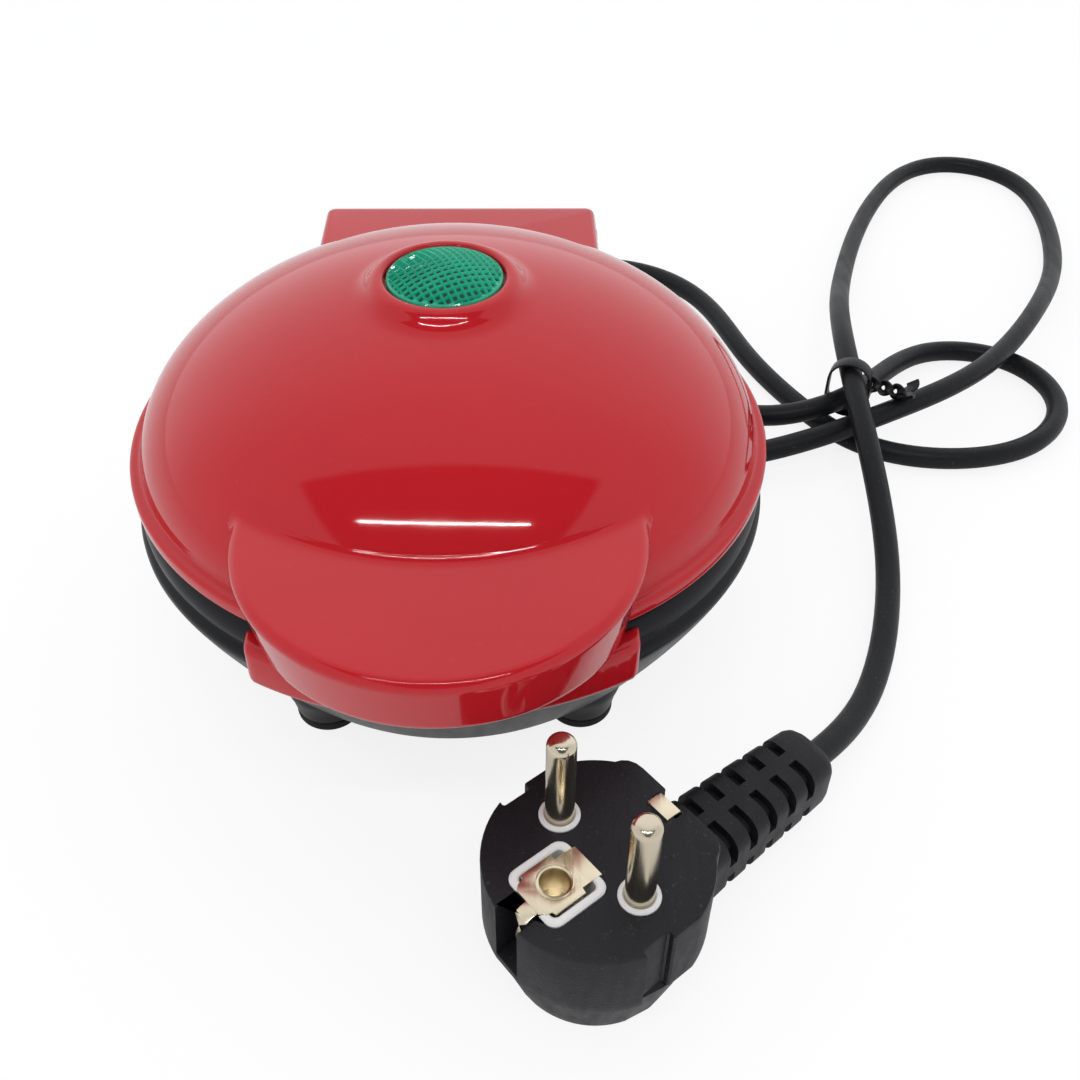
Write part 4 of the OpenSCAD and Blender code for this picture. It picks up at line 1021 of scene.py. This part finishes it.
@dataclass
class LampLens:
    """The green lens: a clear rim and a crown cut into small square prisms, with painted shade in
    their pits.
    """

    radius: float = 10.7
    foot: float = 78.72
    edge: float = 80.25
    bulge: float = 2.75
    cell: float = 1.36
    turn: float = 27.0
    crown_r: float = 10.35

    def height(self, r: float) -> float:
        """Height of the smooth crown at a radius."""
        curve = (self.radius ** 2 + self.bulge ** 2) / (2 * self.bulge)
        return self.edge + self.bulge - curve + math.sqrt(curve ** 2 - r ** 2)

    def build(self) -> Piece:
        """Builds the lens and returns it."""
        form = Form()
        part = bmesh.new()
        count = int(2 * self.crown_r / self.cell) + 3
        bmesh.ops.create_grid(part, x_segments=count, y_segments=count, size=count * self.cell / 2)
        turned = Matrix.Rotation(math.radians(self.turn), 3, "Z")
        bmesh.ops.rotate(part, verts=part.verts, matrix=turned)
        for i in range(48):
            a = math.tau * i / 48
            n = Vector((math.cos(a), math.sin(a), 0))
            bmesh.ops.bisect_plane(part, geom=[*part.verts, *part.edges, *part.faces], dist=1e-5,
                                   plane_co=n * self.crown_r, plane_no=n, clear_outer=True)
        for vert in part.verts:
            vert.co.z = self.height(math.hypot(vert.co.x, vert.co.y)) - 0.12
        bmesh.ops.recalc_face_normals(part, faces=part.faces)
        flip = sum(f.normal.z for f in part.faces) < 0
        if flip:
            bmesh.ops.reverse_faces(part, faces=part.faces)
        whole = [f for f in part.faces if f.calc_area() > 0.4 * self.cell ** 2]
        bmesh.ops.inset_individual(part, faces=whole, thickness=0.15, depth=0.14)
        bmesh.ops.inset_individual(part, faces=whole, thickness=0.29, depth=-0.4)
        # The pit bottoms get the dark green material: painted shade in the recesses.
        form.mark_painted_shade(whole)
        edges = [e for e in part.edges if e.is_boundary]
        made = bmesh.ops.extrude_edge_only(part, edges=edges)["geom"]
        for vert in kept(made, Vert):
            vert.co.z = self.foot + 0.4
        bmesh.ops.contextual_create(part, geom=[e for e in part.edges if e.is_boundary])
        form.take(part)
        r, top = self.radius, self.height(self.crown_r)
        form.spun([(9.2, self.foot), (r - 0.2, self.foot), (r, self.foot + 0.2),
                   (r, self.edge - 0.35), (r - 0.12, self.edge - 0.05),
                   (r - 0.35, self.height(r - 0.35)),
                   (self.crown_r - 0.05, top + 0.02), (self.crown_r - 0.35, top - 0.1),
                   (self.crown_r - 0.6, self.foot + 0.6), (9.2, self.foot + 0.5)], 96)
        return form.finish("lamp_lens", Body.LID, GREEN_LENS, ["indicator_lens"], sharp=18,
                           deep=GREEN_PIT_SHADE)


# ---------------------------------------------------------------- base


@dataclass
class Base:
    """The black bowl with its rim, feet, hinge lugs and gland boss, and the red grip."""

    floor_r: float = 45.0
    floor_z: float = 4.6
    wide_r: float = 62.4
    wide_z: float = 34.5
    power: float = 1.12
    wall: float = 2.2
    rim_z: float = 42.6
    grip_in: float = 60.62
    grip_out: float = 65.3
    grip_low: float = 33.4
    grip_half: float = 33.5
    foot_x: float = 25.3
    foot_y: float = 33.0
    foot_r: float = 6.6
    foot_t: float = 2.6
    hinge_y: float = 70.0
    hinge_z: float = 45.5
    lug_r: float = 6.0
    lug_in: float = 19.2
    lug_out: float = 28.2
    pin_r: float = 2.0
    gland_z: float = 13.0

    def side(self, s: float) -> Point2:
        """Outer point of the bowl at a share of the way up to its widest place."""
        share = (1 - (1 - s) ** self.power) ** (1 / self.power)
        return (self.floor_r + (self.wide_r - self.floor_r) * share,
                self.floor_z + (self.wide_z - self.floor_z) * s)

    def build(self) -> None:
        """Builds the base's pieces."""
        self.bowl()
        self.grip()
        self.feet()
        self.pins()

    def foot_places(self) -> list[Matrix]:
        """Places of the four feet."""
        return [Matrix.Translation((x, y, 0)) for x in (-self.foot_x, self.foot_x)
                for y in (-self.foot_y, self.foot_y)]

    def bowl(self) -> Piece:
        """The bowl in one moulding."""
        form = Form()
        w = self.wall
        outer = [(42.5, self.floor_z), (43.6, self.floor_z), (44.4, self.floor_z + 0.08)]
        outer += [self.side(s) for s in spread(0.02, 1, 36, 1.25)]
        outer += [(62.4, 35.1), (62.3, 35.6), (62.0, 36.0), (61.5, 36.3), (61.1, 36.5),
                  (60.85, 36.8), (60.8, 37.1), (60.95, 37.4), (61.3, 37.7), (61.55, 38.2),
                  (61.62, 38.9), (61.5, 39.7), (61.2, 40.5), (60.75, 41.2), (60.2, 41.8),
                  (59.5, 42.3), (58.9, 42.55), (58.4, 42.6), (58.15, 42.4), (58.1, 42.0)]
        inner = [(min(r - w, 58.1), max(z, self.floor_z + w)) for r, z in
                 (self.side(s) for s in spread(1, 0.03, 20))]
        outer += [(58.1, 38.0)] + inner + [(42.5, self.floor_z + w)]
        form.spun(outer, 256)
        self.floor(form)
        r, t = self.foot_r, self.foot_t
        stub = [(0, t), (r - 0.3, t), (r, t + 0.3), (6.75, 3.6), (7.0, 4.8), (7.35, 6.4),
                (7.8, 7.8), (8.3, 9.6), (8.3, 11.5), (0, 11.5)]
        for place in self.foot_places():
            form.spun(stub, 40, place, closed=False)
        self.lugs(form)
        boss = [(0, 45), (8, 45), (8, 56.3), (7.8, 56.8), (7.3, 57), (4.6, 57), (4.6, 55), (0, 55)]
        form.spun(boss, 48, along((0, 0, self.gland_z), (0, 1, 0)), closed=False)
        return form.finish("base_bowl", Body.BASE, BLACK_GLOSS, ["base_shell"])

    def floor(self, form: Form) -> None:
        """The bottom, with its vent slots and the four screw wells.

        Args:
            form: Form of the bowl.
        """
        holes = [rounded_box((x - 1, -9), (x + 1, 9), 0.99, 3) for x in range(-24, 25, 6)]
        holes += [arc(middle, 3.2, 0, 345, 23) for middle in post_middles()]
        rim = arc((0, 0), 42.6, 0, 357.5, 143)
        form.slab(rim, self.floor_z, self.floor_z + self.wall, holes=holes)

    def lugs(self, form: Form) -> None:
        """The two lugs that carry the hinge pins, with the ribs below them.

        Args:
            form: Form of the bowl.
        """
        y, z, r = self.hinge_y, self.hinge_z, self.lug_r
        outline = arc((y, z), r, 135, -45, 20)
        outline += [(58.0, 28.5), (51.0, 26.5), (51.0, 39.6), (57.6, 42.0), (62.6, 42.4)]
        turn = Matrix(((0, 0, 1, 0), (1, 0, 0, 0), (0, 1, 0, 0), (0, 0, 0, 1)))
        for low in (self.lug_in, -self.lug_out):
            form.slab(outline, low, low + self.lug_out - self.lug_in, 0.5, turn)

    def grip(self) -> Piece:
        """The red pad below the lid's handle, rounded all along its outer edges."""
        form = Form()
        rings = []
        half = self.grip_half
        stations = [(-half, 1.1), (-half + 0.12, 0.62), (-half + 0.45, 0.24), (-half + 1.0, 0.0)]
        stations += [(x, 0.0) for x in spread(-half + 2.0, half - 2.0, 44)]
        stations += [(-x, inset) for x, inset in reversed(stations[:4])]
        for x, inset in stations:
            section = rounded_box((self.grip_in + inset * 0.2, self.grip_low + inset),
                                  (self.grip_out - inset, self.rim_z - inset), 1.7 - inset * 0.6, 5)
            rings.append([(x, -math.sqrt(r * r - x * x), z) for r, z in section])
        form.loft(rings)
        return form.finish("front_grip", Body.BASE, RED_GLOSS, ["base_grip"])

    def feet(self) -> Piece:
        """Four rubber pads with a shallow dish and a rounded edge."""
        form = Form()
        r, t = self.foot_r, self.foot_t - 0.02
        profile = [(0, 0.5), (2.0, 0.5), (2.4, 0.1), (2.8, 0.0), (r - 1.4, 0)]
        profile += arc((r - 1.3, 1.3), 1.3, -80, 0, 6) + [(r, t - 0.2), (r - 0.2, t), (0, t)]
        for place in self.foot_places():
            form.spun(profile, 48, place, closed=False)
        return form.finish("rubber_feet", Body.BASE, FOOT_RUBBER, ["foot_pads"])

    def pins(self) -> Piece:
        """The two hinge pins, with chamfered ends."""
        form = Form()
        r, length = self.pin_r, 11.1
        profile = [(0, 0), (r - 0.4, 0), (r, 0.4), (r, length - 0.4), (r - 0.4, length),
                   (0, length)]
        for x in (20.7, -31.8):
            form.spun(profile, 40, along((x, self.hinge_y, self.hinge_z), (1, 0, 0)), closed=False)
        return form.finish("hinge_pin_pair", Body.BASE, BRIGHT_STEEL, ["hinge_pins"])


# ---------------------------------------------------------------- cooking plates


@dataclass
class FishMould:
    """One half of the fish, as a depth over the plate, in millimetres."""

    depth: float = 10.2
    centre_x: float = -7.36
    half_l: float = 38.64
    half_w: float = 24.0
    scale_pitch: float = 6.2

    def belly(self, x: float, y: float) -> float:
        """Share of the way from the middle of the body, at 0, to its outline, at 1."""
        u = (x - self.centre_x) / self.half_l
        return math.hypot(u, y / (self.half_w * (1 - 0.12 * max(min(u, 1), -1))))

    def tail(self, x: float, y: float) -> float:
        """Distance inside the outline of the tail; below zero outside it."""
        side = 4.8 + max(x - 20.24, 0) * 0.859 - abs(y)
        end = 41.5 + 4.5 * min(abs(y) / 15.2, 1) - max(abs(y) - 15.2, 0) * 0.85 - x
        return min(side * 0.76, end, x - 14.0, 19.2 - abs(y))

    def at(self, x: float, y: float) -> float:
        """Depth of the mould at a place of the plate."""
        rho = self.belly(x, y)
        body = self.depth * (1 - rho ** 4.5) ** 0.55 if rho < 1 else 0.0
        inside = self.tail(x, y)
        fin = 6.4 * (1 - (1 - min(inside / 3.4, 1)) ** 2.2) if inside > 0 else 0.0
        if fin > 0:
            fin += 0.45 * math.cos(math.atan2(y, x - 8) * 34) * min(inside / 3, 1)
        total = max(body, fin)
        if rho < 0.93:
            total += self.detail(x, y) * min((0.93 - rho) / 0.08, 1)
        return max(total, 0.0)

    def detail(self, x: float, y: float) -> float:
        """Scales, gill, eye, mouth and side fin, cut a little deeper or shallower."""
        if x < -22.5:
            eye = math.hypot(x + 33.5, y - 5.5)
            mouth = math.hypot(x + 47.5, (y + 3.0) * 1.6)
            cut = -0.55 * math.exp(-((eye - 3.1) / 0.55) ** 2) + 0.7 * math.exp(-(eye / 1.3) ** 2)
            return cut - 0.6 * math.exp(-((mouth - 7.5) / 0.6) ** 2)
        gill = math.hypot(x + 38.0, y)
        cut = -0.8 * math.exp(-((gill - 16.6) / 0.7) ** 2)
        fin = math.hypot((x + 9) / 1.25, y + 4.0)
        if fin < 6.2 and x > -13:
            return cut + 0.55 * math.cos(math.atan2(y + 4.0, x + 14) * 22) - 0.3
        if gill > 18.4 and x < 22:
            p = self.scale_pitch
            best = 9.0
            column = math.floor(x / (p / 2))
            for i in (column - 1, column, column + 1, column + 2):
                cx = i * p / 2
                shift = p / 2 if i % 2 else 0.0
                cy = round((y - shift) / p) * p + shift
                away = math.hypot(x - cx, y - cy)
                if x > cx - 0.4:
                    best = min(best, abs(away - p * 0.52))
            cut -= 0.5 * math.exp(-(best / 0.5) ** 2)
        return cut


@dataclass
class CookingPlates:
    """The pair of plates, each a disc with a fish pressed into it."""

    radius: float = 55.6
    rim: float = 3.0
    pan: float = 1.9
    segments: int = 170
    mould: FishMould = field(default_factory=FishMould)

    def build(self) -> None:
        """Builds both plates."""
        self.plate("lower_mould_plate", 43.2, -1, Body.BASE, "lower_cooking_plate")
        self.plate("upper_mould_plate", 43.6, 1, Body.LID, "upper_cooking_plate")

    def plate(self, name: str, face: float, way: int, body: Body, node: str) -> Piece:
        """One plate.

        Args:
            name: Name of the piece.
            face: Height of its cooking face.
            way: Direction of the mould's depth, up or down.
            body: CAD body that it rides on.
            node: CAD node that it stands for.

        Returns:
            The piece.
        """
        form = Form()
        part = bmesh.new()
        bmesh.ops.create_grid(part, x_segments=self.segments, y_segments=self.segments, size=1.0)
        for vert in part.verts:
            x, y = vert.co.x, vert.co.y
            vert.co.x = x * math.sqrt(1 - y * y / 2) * self.radius
            vert.co.y = y * math.sqrt(1 - x * x / 2) * self.radius
            depth = self.mould.at(vert.co.x, vert.co.y)
            r = math.hypot(vert.co.x, vert.co.y)
            edge = max(0.0, r - self.radius + 0.5)
            vert.co.z = face + way * (depth + edge * 0.6)
        made = bmesh.ops.duplicate(part, geom=[*part.verts, *part.edges, *part.faces])
        for vert in kept(made["geom"], Vert):
            depth = abs(vert.co.z - face)
            vert.co.z = face + way * max(self.rim, depth + self.pan)
        bmesh.ops.bridge_loops(part, edges=[e for e in part.edges if e.is_boundary])
        form.take(part)
        return form.finish(name, body, NONSTICK, [node], sharp=60)


# ---------------------------------------------------------------- lead


@dataclass
class PowerLead:
    """The mains lead with its gland boot and the wire tie round its crossing strands."""

    radius: float = 2.7
    route: tuple[Rgb, ...] = (
        (0, 84, 13), (-1, 106, 12), (10, 126, 10.5), (31, 131, 7.5), (49, 117, 3.5),
        (54, 77, 3), (72, 54, 6), (94, 55, 11.5), (108, 72, 7), (126, 95, 2.8),
        (152, 91, 2.8), (161, 68, 2.8), (146, 47, 2.8), (121, 42, 2.8), (100, 48, 2.8),
        (88, 65, 2.8), (76, 91, 2.8), (71, 119, 2.8), (55, 138, 2.8), (30, 142, 2.8),
        (10, 130, 2.8), (6, 102, 2.8), (17, 68, 2.8), (44, 41, 2.8), (76, 42, 5.5),
        (109, 53, 11.5), (139, 72, 10), (163, 105, 10), (182, 141, 3), (190, 181, 2.8),
        (185, 204, 2.8), (165, 214, 2.8), (144, 203, 2.8), (124, 166, 2.8), (110, 125, 5.5),
        (99, 85, 18.5), (97, 45, 16.5), (99, 4, 3), (85, -37, 2.8), (67.6, -54.3, 8.5))
    tie_at: Rgb = (98.0, 60.5, 13.1)
    tie_turn: float = -24.0
    tie_half_w: float = 5.0
    tie_half_h: float = 7.2
    boot_from: float = 57.05
    boot_to: float = 83.85

    def lead(self) -> Piece:
        """The lead as one smooth curve through the route's poles."""
        poles = [Vector(p) for p in self.route]
        poles = [2 * poles[0] - poles[1], *poles, 2 * poles[-1] - poles[-2]]
        data = bpy.data.curves.new("mains_lead", "CURVE")
        data.dimensions = "3D"
        data.bevel_depth = self.radius * MM
        data.bevel_resolution = 6
        data.resolution_u = 10
        data.use_fill_caps = True
        spline = data.splines.new("BEZIER")
        spline.bezier_points.add(len(self.route) - 1)
        for i, knot in enumerate(spline.bezier_points):
            before, here, after = poles[i:i + 3]
            knot.handle_left_type = knot.handle_right_type = "FREE"
            knot.co = (before + 4 * here + after) / 6 * MM
            knot.handle_left = (2 * here + before) / 3 * MM
            knot.handle_right = (2 * here + after) / 3 * MM
        piece = bpy.data.objects.new("mains_lead", data)
        bpy.context.scene.collection.objects.link(piece)
        return settle(piece, Body.BASE, CORD_BLACK, ["power_cord"])

    def boot(self) -> Piece:
        """The ribbed boot that holds the lead where it leaves the base."""
        form = Form()
        start, end = self.boot_from, self.boot_to
        profile = [(0, 43.7), (5.8, 43.7), (6.0, 43.9), (6.0, 44.9), (4.5, 45.0), (4.5, start),
                   (6.3, start), (6.6, start + 0.3), (6.6, start + 1.3), (6.3, start + 1.6)]
        for i in range(6):
            y, r = 61 + 3.6 * i, 6.1 - 0.26 * i
            core = 5.5 - 1.8 * (y - 58) / 26
            profile += [(core, y - 0.1), (r - 0.3, y), (r, y + 0.3), (r, y + 1.5),
                        (r - 0.3, y + 1.8), (core - 0.12, y + 1.9)]
        profile += [(3.75, end - 0.5), (3.5, end), (2.9, end - 0.1), (2.9, end - 1.5),
                    (0, end - 1.5)]
        form.spun(profile, 40, along((0, 0, 13), (0, 1, 0)), closed=False)
        return form.finish("lead_boot", Body.BASE, CORD_BLACK, ["cord_gland"])

    def tie(self) -> Piece:
        """The wire tie: a flat loop, two twisted tails and their curled ends."""
        form = Form()
        turned = Matrix.Rotation(math.radians(self.tie_turn), 4, "Z")
        place = Matrix.Translation(self.tie_at) @ turned
        strip = rounded_box((-2.0, -0.28), (2.0, 0.28), 0.27, 2)
        straight = self.tie_half_h - self.tie_half_w
        loop = [(x, z + straight) for x, z in arc((0, 0), self.tie_half_w + 0.3, 0, 180, 14)]
        loop += [(x, z - straight) for x, z in arc((0, 0), self.tie_half_w + 0.3, 180, 360, 14)]
        rings = []
        for i, (x, z) in enumerate(loop):
            before, after = loop[i - 1], loop[(i + 1) % len(loop)]
            heading = Vector((after[0] - before[0], 0, after[1] - before[1])).normalized()
            out = Vector((heading.z, 0, -heading.x))
            rings.append([Vector((x, 0, z)) + Vector((0, 1, 0)) * a + out * b for a, b in strip])
        rings.append(rings[0])
        form.loft(rings, place, caps=False)
        reach, around = 8.6, 1.15
        for phase in (0.0, 0.5):
            path = []
            for t in spread(0, 1, 30):
                a = math.tau * (1.4 * t + phase)
                path.append(Vector((4.5 + reach * t, around * math.cos(a),
                                    2.4 - 0.6 * t + around * math.sin(a))))
            form.swept(path, rounded_box((-1.1, -0.42), (1.1, 0.42), 0.35, 3), 1.4, place=place)
        for lean in (-1, 1):
            curl = [Vector((12.6 + 2.6 * math.sin(b), lean * (0.5 + 2.2 * (1 - math.cos(b))),
                            1.6 + 0.8 * b)) for b in spread(0, 2.1, 12)]
            form.swept(curl, rounded_box((-1.6, -0.4), (1.6, 0.4), 0.35, 3), 0.1 * lean,
                       place=place)
        return form.finish("wire_tie", Body.BASE, TIE_BLACK, ["cord_tie"])


# ---------------------------------------------------------------- plug


@dataclass
class MainsPlug:
    """The moulded plug that lies on its back, with two pins and an earth contact."""

    place: Matrix = field(default_factory=lambda: Matrix.Translation((25, -87.6, 0))
                          @ Matrix.Rotation(math.radians(38), 4, "Z"))
    face: float = 28.4
    radius: float = 18.6
    flat: float = 18.0
    pin_ys: Point2 = (-9.5, 9.5)
    pin_r: float = 2.4
    pin_top: float = 47.4
    collar_r: float = 3.4
    relief_z: float = 8.5

    def outline(self, inset: float, slots: bool) -> list[Point2]:
        """Outline of the plug's front at a level.

        Args:
            inset: How far it is drawn in.
            slots: Whether the two earth slots are cut into it.

        Returns:
            The closed outline, with the same number of points with and without slots.
        """
        r, f = self.radius - inset, self.flat - inset
        half: list[Point2] = []
        s = 2.6 + inset
        near = -14.2 + inset if slots else -math.sqrt(r * r - s * s)
        half += [(near, 0.0), (near, s - 0.01), (-math.sqrt(r * r - s * s), s)]
        half += arc((0, 0), r, 180 - math.degrees(math.asin(s / r)) - 4, 109, 12)
        left, right, deep = -5.8 - inset, -0.6 + inset, 16.6 - inset
        half += [(left, math.sqrt(r * r - left * left)), (left, deep + 0.3), (left + 0.3, deep),
                 (right - 0.3, deep), (right, deep + 0.3), (right, f - 0.3), (right + 0.3, f)]
        a = math.degrees(math.asin(f / r))
        half += arc((0, 0), r, a, math.degrees(math.asin((12.0 - inset) / r)), 10)
        far = 14.2 - inset if slots else 17.0 - inset
        corner = ((15.3, 11.6), (16.2, 10.8), (16.8, 9.6), (17.0, 8.2))
        half += [(x - inset, y - inset) for x, y in corner]
        half += [(17.0 - inset, s), (far, s - 0.01), (far, 0.0)]
        return half + [(x, -y) for x, y in reversed(half[1:-1])]

    def build(self) -> list[Piece]:
        """Builds the plug.

        Returns:
            Its pieces.
        """
        return [self.body(), self.bridge(), self.pins(), self.earth()]

    def body(self) -> Piece:
        """The black moulding: front, tapered back, neck and slotted relief."""
        form = Form()
        part = bmesh.new()
        top = self.face
        rings = [level(self.outline(inset, True), z)
                 for inset, z in ((0.45, top), (0.13, top - 0.13), (0.0, top - 0.45), (0.0, 15.4))]
        rings += [level(self.outline(inset, False), z)
                  for inset, z in ((0.0, 15.35), (0.0, 14.0), (0.3, 13.4))]
        plain = [Vector(p).normalized() for p in self.outline(0.3, False)]
        for r, z in ((17.4, 13.0), (16.9, 10.5), (15.6, 5.0), (14.6, 1.6), (14.0, 0.5), (13.2, 0)):
            rings.append([(out.x * r, out.y * r, z) for out in plain])
        self.front(part, rings)
        form.take(part, self.place)
        self.relief(form)
        return form.finish("plug_moulding", Body.BASE, PLUG_BLACK, ["plug_body"], sharp=28)

    def front(self, part: Mesh, rings: Sequence[Sequence[Rgb]]) -> None:
        """Skins the body and closes its face round the openings for the white bridge.

        Args:
            part: Mesh to build in.
            rings: Levels of the body, from the face to the back.
        """
        top, back = skin(part, rings)
        bmesh.ops.contextual_create(part, geom=back)
        wells = [arc((0, y), self.collar_r + 0.08, 0, 348, 29) for y in self.pin_ys]
        wells.append(rounded_box((-14.3, -6.1), (-2.5, 6.1), 2.0, 4))
        loops = [ring_of(part, level(well, self.face))[1] for well in wells]
        bmesh.ops.triangle_fill(part, use_beauty=True, use_dissolve=False,
                                edges=top + [e for loop in loops for e in loop])
        for loop in loops:
            made = bmesh.ops.extrude_edge_only(part, edges=loop)["geom"]
            bmesh.ops.translate(part, vec=(0, 0, -9.0), verts=kept(made, Vert))
            bmesh.ops.contextual_create(part, geom=kept(made, Edge))

    def section(self, x: float, half_w: float, half_h: float, mid: float,
                slotted: bool) -> list[Rgb]:
        """A section of the neck or the relief, square to the lead.

        Args:
            x: Distance along the lead.
            half_w: Half its width.
            half_h: Half its height.
            mid: Height of its middle.
            slotted: Whether the four slots are cut in.

        Returns:
            The closed section.
        """
        depth, r, web, rail = 1.9, 3.4, 1.2, 1.5
        w, h = half_w - depth, half_h - depth
        outer = [(web, half_h)] + list(reversed(arc((half_w - r, half_h - r), r, 0, 90, 6)))
        outer.append((half_w, rail))
        inner = [(web, h)] + list(reversed(arc((w - 1.2, h - 1.2), 1.2, 0, 90, 6))) + [(w, rail)]
        quarter = list(zip(outer, inner))
        points: list[Rgb] = []
        for sy, sz in ((1, 1), (1, -1), (-1, -1), (-1, 1)):
            run = list(quarter if sy == sz else reversed(quarter))
            ring = [(o, o) for o, _ in run[:1]] + run + [(o, o) for o, _ in run[-1:]]
            for out, cut in ring:
                y, z = cut if slotted else out
                points.append((x, sy * y, mid + sz * z))
        return points

    def relief(self, form: Form) -> None:
        """The neck, and the relief with its rows of slots along the lead.

        Args:
            form: Form of the body.
        """
        rings = [self.section(6.0, 9.4, 8.4, 8.9, False), self.section(18.2, 9.4, 8.3, 8.8, False),
                 self.section(19.4, 9.0, 7.9, 8.6, False), self.section(20.6, 7.9, 6.9, 8.5, False)]
        for i in range(5):
            x = 24.4 + 5.2 * i
            for at, cut in ((x, False), (x + 0.05, True), (x + 1.95, True), (x + 2.0, False)):
                w = 7.8 - 0.05 * (at - 20)
                rings.append(self.section(at, w, 6.8, self.relief_z, cut))
        for at, w, h in ((51.4, 6.2, 6.7), (52.6, 5.9, 6.3), (53.5, 5.2, 5.6), (53.95, 4.2, 4.4)):
            rings.append(self.section(at, w, h, self.relief_z, False))
        form.loft(rings, self.place)

    def bridge(self) -> Piece:
        """The white inner moulding: a collar round each pin and a frame round the earth contact."""
        form = Form()
        low, top = self.face - 8.9, self.face + 0.5
        collar = [(self.pin_r + 0.03, low), (self.collar_r, low), (self.collar_r, top - 0.3),
                  (self.collar_r - 0.25, top), (self.pin_r + 0.3, top),
                  (self.pin_r + 0.03, top - 0.25)]
        for y in self.pin_ys:
            form.spun(collar, 48, self.place @ Matrix.Translation((0, y, 0)))
        rings = []
        for inset, z, corner in ((0.0, low, 2.0), (0.0, top - 0.3, 2.0), (0.25, top, 2.0),
                                 (1.15, top, 1.0), (1.4, top - 0.3, 1.0), (1.4, low + 2.4, 1.0)):
            box = rounded_box((-14.2 + inset, -6.0 + inset), (-2.6 - inset, 6.0 - inset), corner, 5)
            rings.append(level(box, z))
        form.loft(rings, self.place)
        return form.finish("plug_inner", Body.BASE, PLUG_WHITE, ["plug_bridge"])

    def pins(self) -> Piece:
        """The two round pins with domed tips."""
        form = Form()
        r, top = self.pin_r, self.pin_top
        profile = [(0, self.face - 8), (r, self.face - 8), (r, top - 2.0)]
        profile += arc((r - 1.5, top - 1.5), 1.5, 0, 78, 8) + [(0.5, top - 0.01), (0, top)]
        for y in self.pin_ys:
            form.spun(profile, 56, self.place @ Matrix.Translation((0, y, 0)), closed=False)
        return form.finish("plug_pin_pair", Body.BASE, PIN_METAL, ["plug_pins"])

    def strip(self, form: Form, y: float, half_w: float, half_t: float, path: Sequence[Point2],
              corner: float = 0.2) -> None:
        """A bent strip of the earth contact.

        Args:
            form: Form of the contact.
            y: Where its middle lies across the plug.
            half_w: Half its width.
            half_t: Half its thickness.
            path: Points along it, each a distance and a height over the contact's plate.
            corner: Radius of its edges.
        """
        z = self.face + 0.36
        section = rounded_box((-half_w, -half_t), (half_w, half_t), corner, 2)
        form.swept([Vector((x, y, z + rise)) for x, rise in path], section, place=self.place)

    def earth(self) -> Piece:
        """The pressed earth contact: plate, rolled socket, sloped tongue and side clips."""
        form = Form()
        z = self.face + 0.36
        half = [(-14.3, -2.6), (-13.4, -3.4), (-12.4, -3.6), (-12.2, -4.3), (-6.3, -4.3),
                (-6.1, -3.3), (-4.6, -3.3)]
        outline = half + [(x, -y) for x, y in reversed(half)]
        form.slab(outline, z - 0.25, z + 0.35, 0.12, self.place,
                  holes=[arc((-8.9, 0), 2.5, 0, 350, 35)], segments=2)
        self.strip(form, 0.0, 3.3, 0.3, ((-4.7, 0.05), (-3.9, 0.02), (-3.0, -0.1), (-2.2, -0.28)))
        socket = [(2.35, z - 5.2), (2.95, z - 5.2), (2.95, z + 0.3), (3.0, z + 0.55),
                  (2.8, z + 0.72), (2.5, z + 0.6), (2.35, z + 0.3)]
        form.spun(socket, 48, self.place @ Matrix.Translation((-8.9, 0, 0)))
        form.slab(arc((-8.9, 0), 2.4, 0, 350, 35), z - 5.2, z - 4.8, place=self.place)
        self.strip(form, -1.0, 1.4, 0.3, ((-13.9, 0.0), (-15.2, -0.15), (-16.2, -0.7),
                                          (-16.7, -2.2), (-16.2, -7.0), (-15.2, -11.5)), 0.18)
        self.strip(form, 0.0, 2.4, 0.35, ((12.6, -0.3), (14.2, -0.3), (15.4, -0.45),
                                          (15.9, -1.4), (16.2, -4.0), (15.4, -11.5)))
        return form.finish("earth_spring", Body.BASE, EARTH_METAL, ["earth_contact"])


# ---------------------------------------------------------------- carried-over parts


@dataclass
class InnerParts:
    """Parts that keep their own mesh and only get a finish."""

    finishes: dict[str, Finish] = field(default_factory=lambda: {
        "base_frame": BLACK_HEATPROOF, "lid_frame": BLACK_HEATPROOF, "lamp_holder": BLACK_HEATPROOF,
        "lower_heating_element": ELEMENT_SHEATH, "upper_heating_element": ELEMENT_SHEATH,
        "lower_element_clamp": BRIGHT_STEEL, "upper_element_clamp": BRIGHT_STEEL,
        "base_screws": BRIGHT_STEEL, "lid_screws": BRIGHT_STEEL,
        "lower_heat_shield": SHIELD_SHEET, "upper_heat_shield": SHIELD_SHEET,
        "thermostat": WHITE_CERAMIC, "thermal_fuse": WHITE_CERAMIC, "terminal_block": CREAM_PLASTIC,
        "base_wiring": WIRE_SLEEVE, "lid_wiring": WIRE_SLEEVE, "indicator_lamp": LAMP_GLASS})

    def dress(self) -> None:
        """Gives each part its finish."""
        for name, finish in self.finishes.items():
            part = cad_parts[name]
            part.data.materials.clear()
            part.data.materials.append(finish.material())
            log.info("%s: keeps its mesh, finish %s", name, finish.slot)


def main() -> None:
    """Builds the scene: camera, lead, plug, lid, base and plates, in that order."""
    logging.basicConfig(level=logging.INFO, format="%(name)s: %(message)s")
    Studio().build()
    lead = PowerLead()
    cable = lead.lead()
    boot, tie = lead.boot(), lead.tie()
    plug = MainsPlug().build()
    Lid().build()
    LampLens().build()
    Base().build()
    CookingPlates().build()
    InnerParts().dress()


if __name__ == "__main__":
    main()
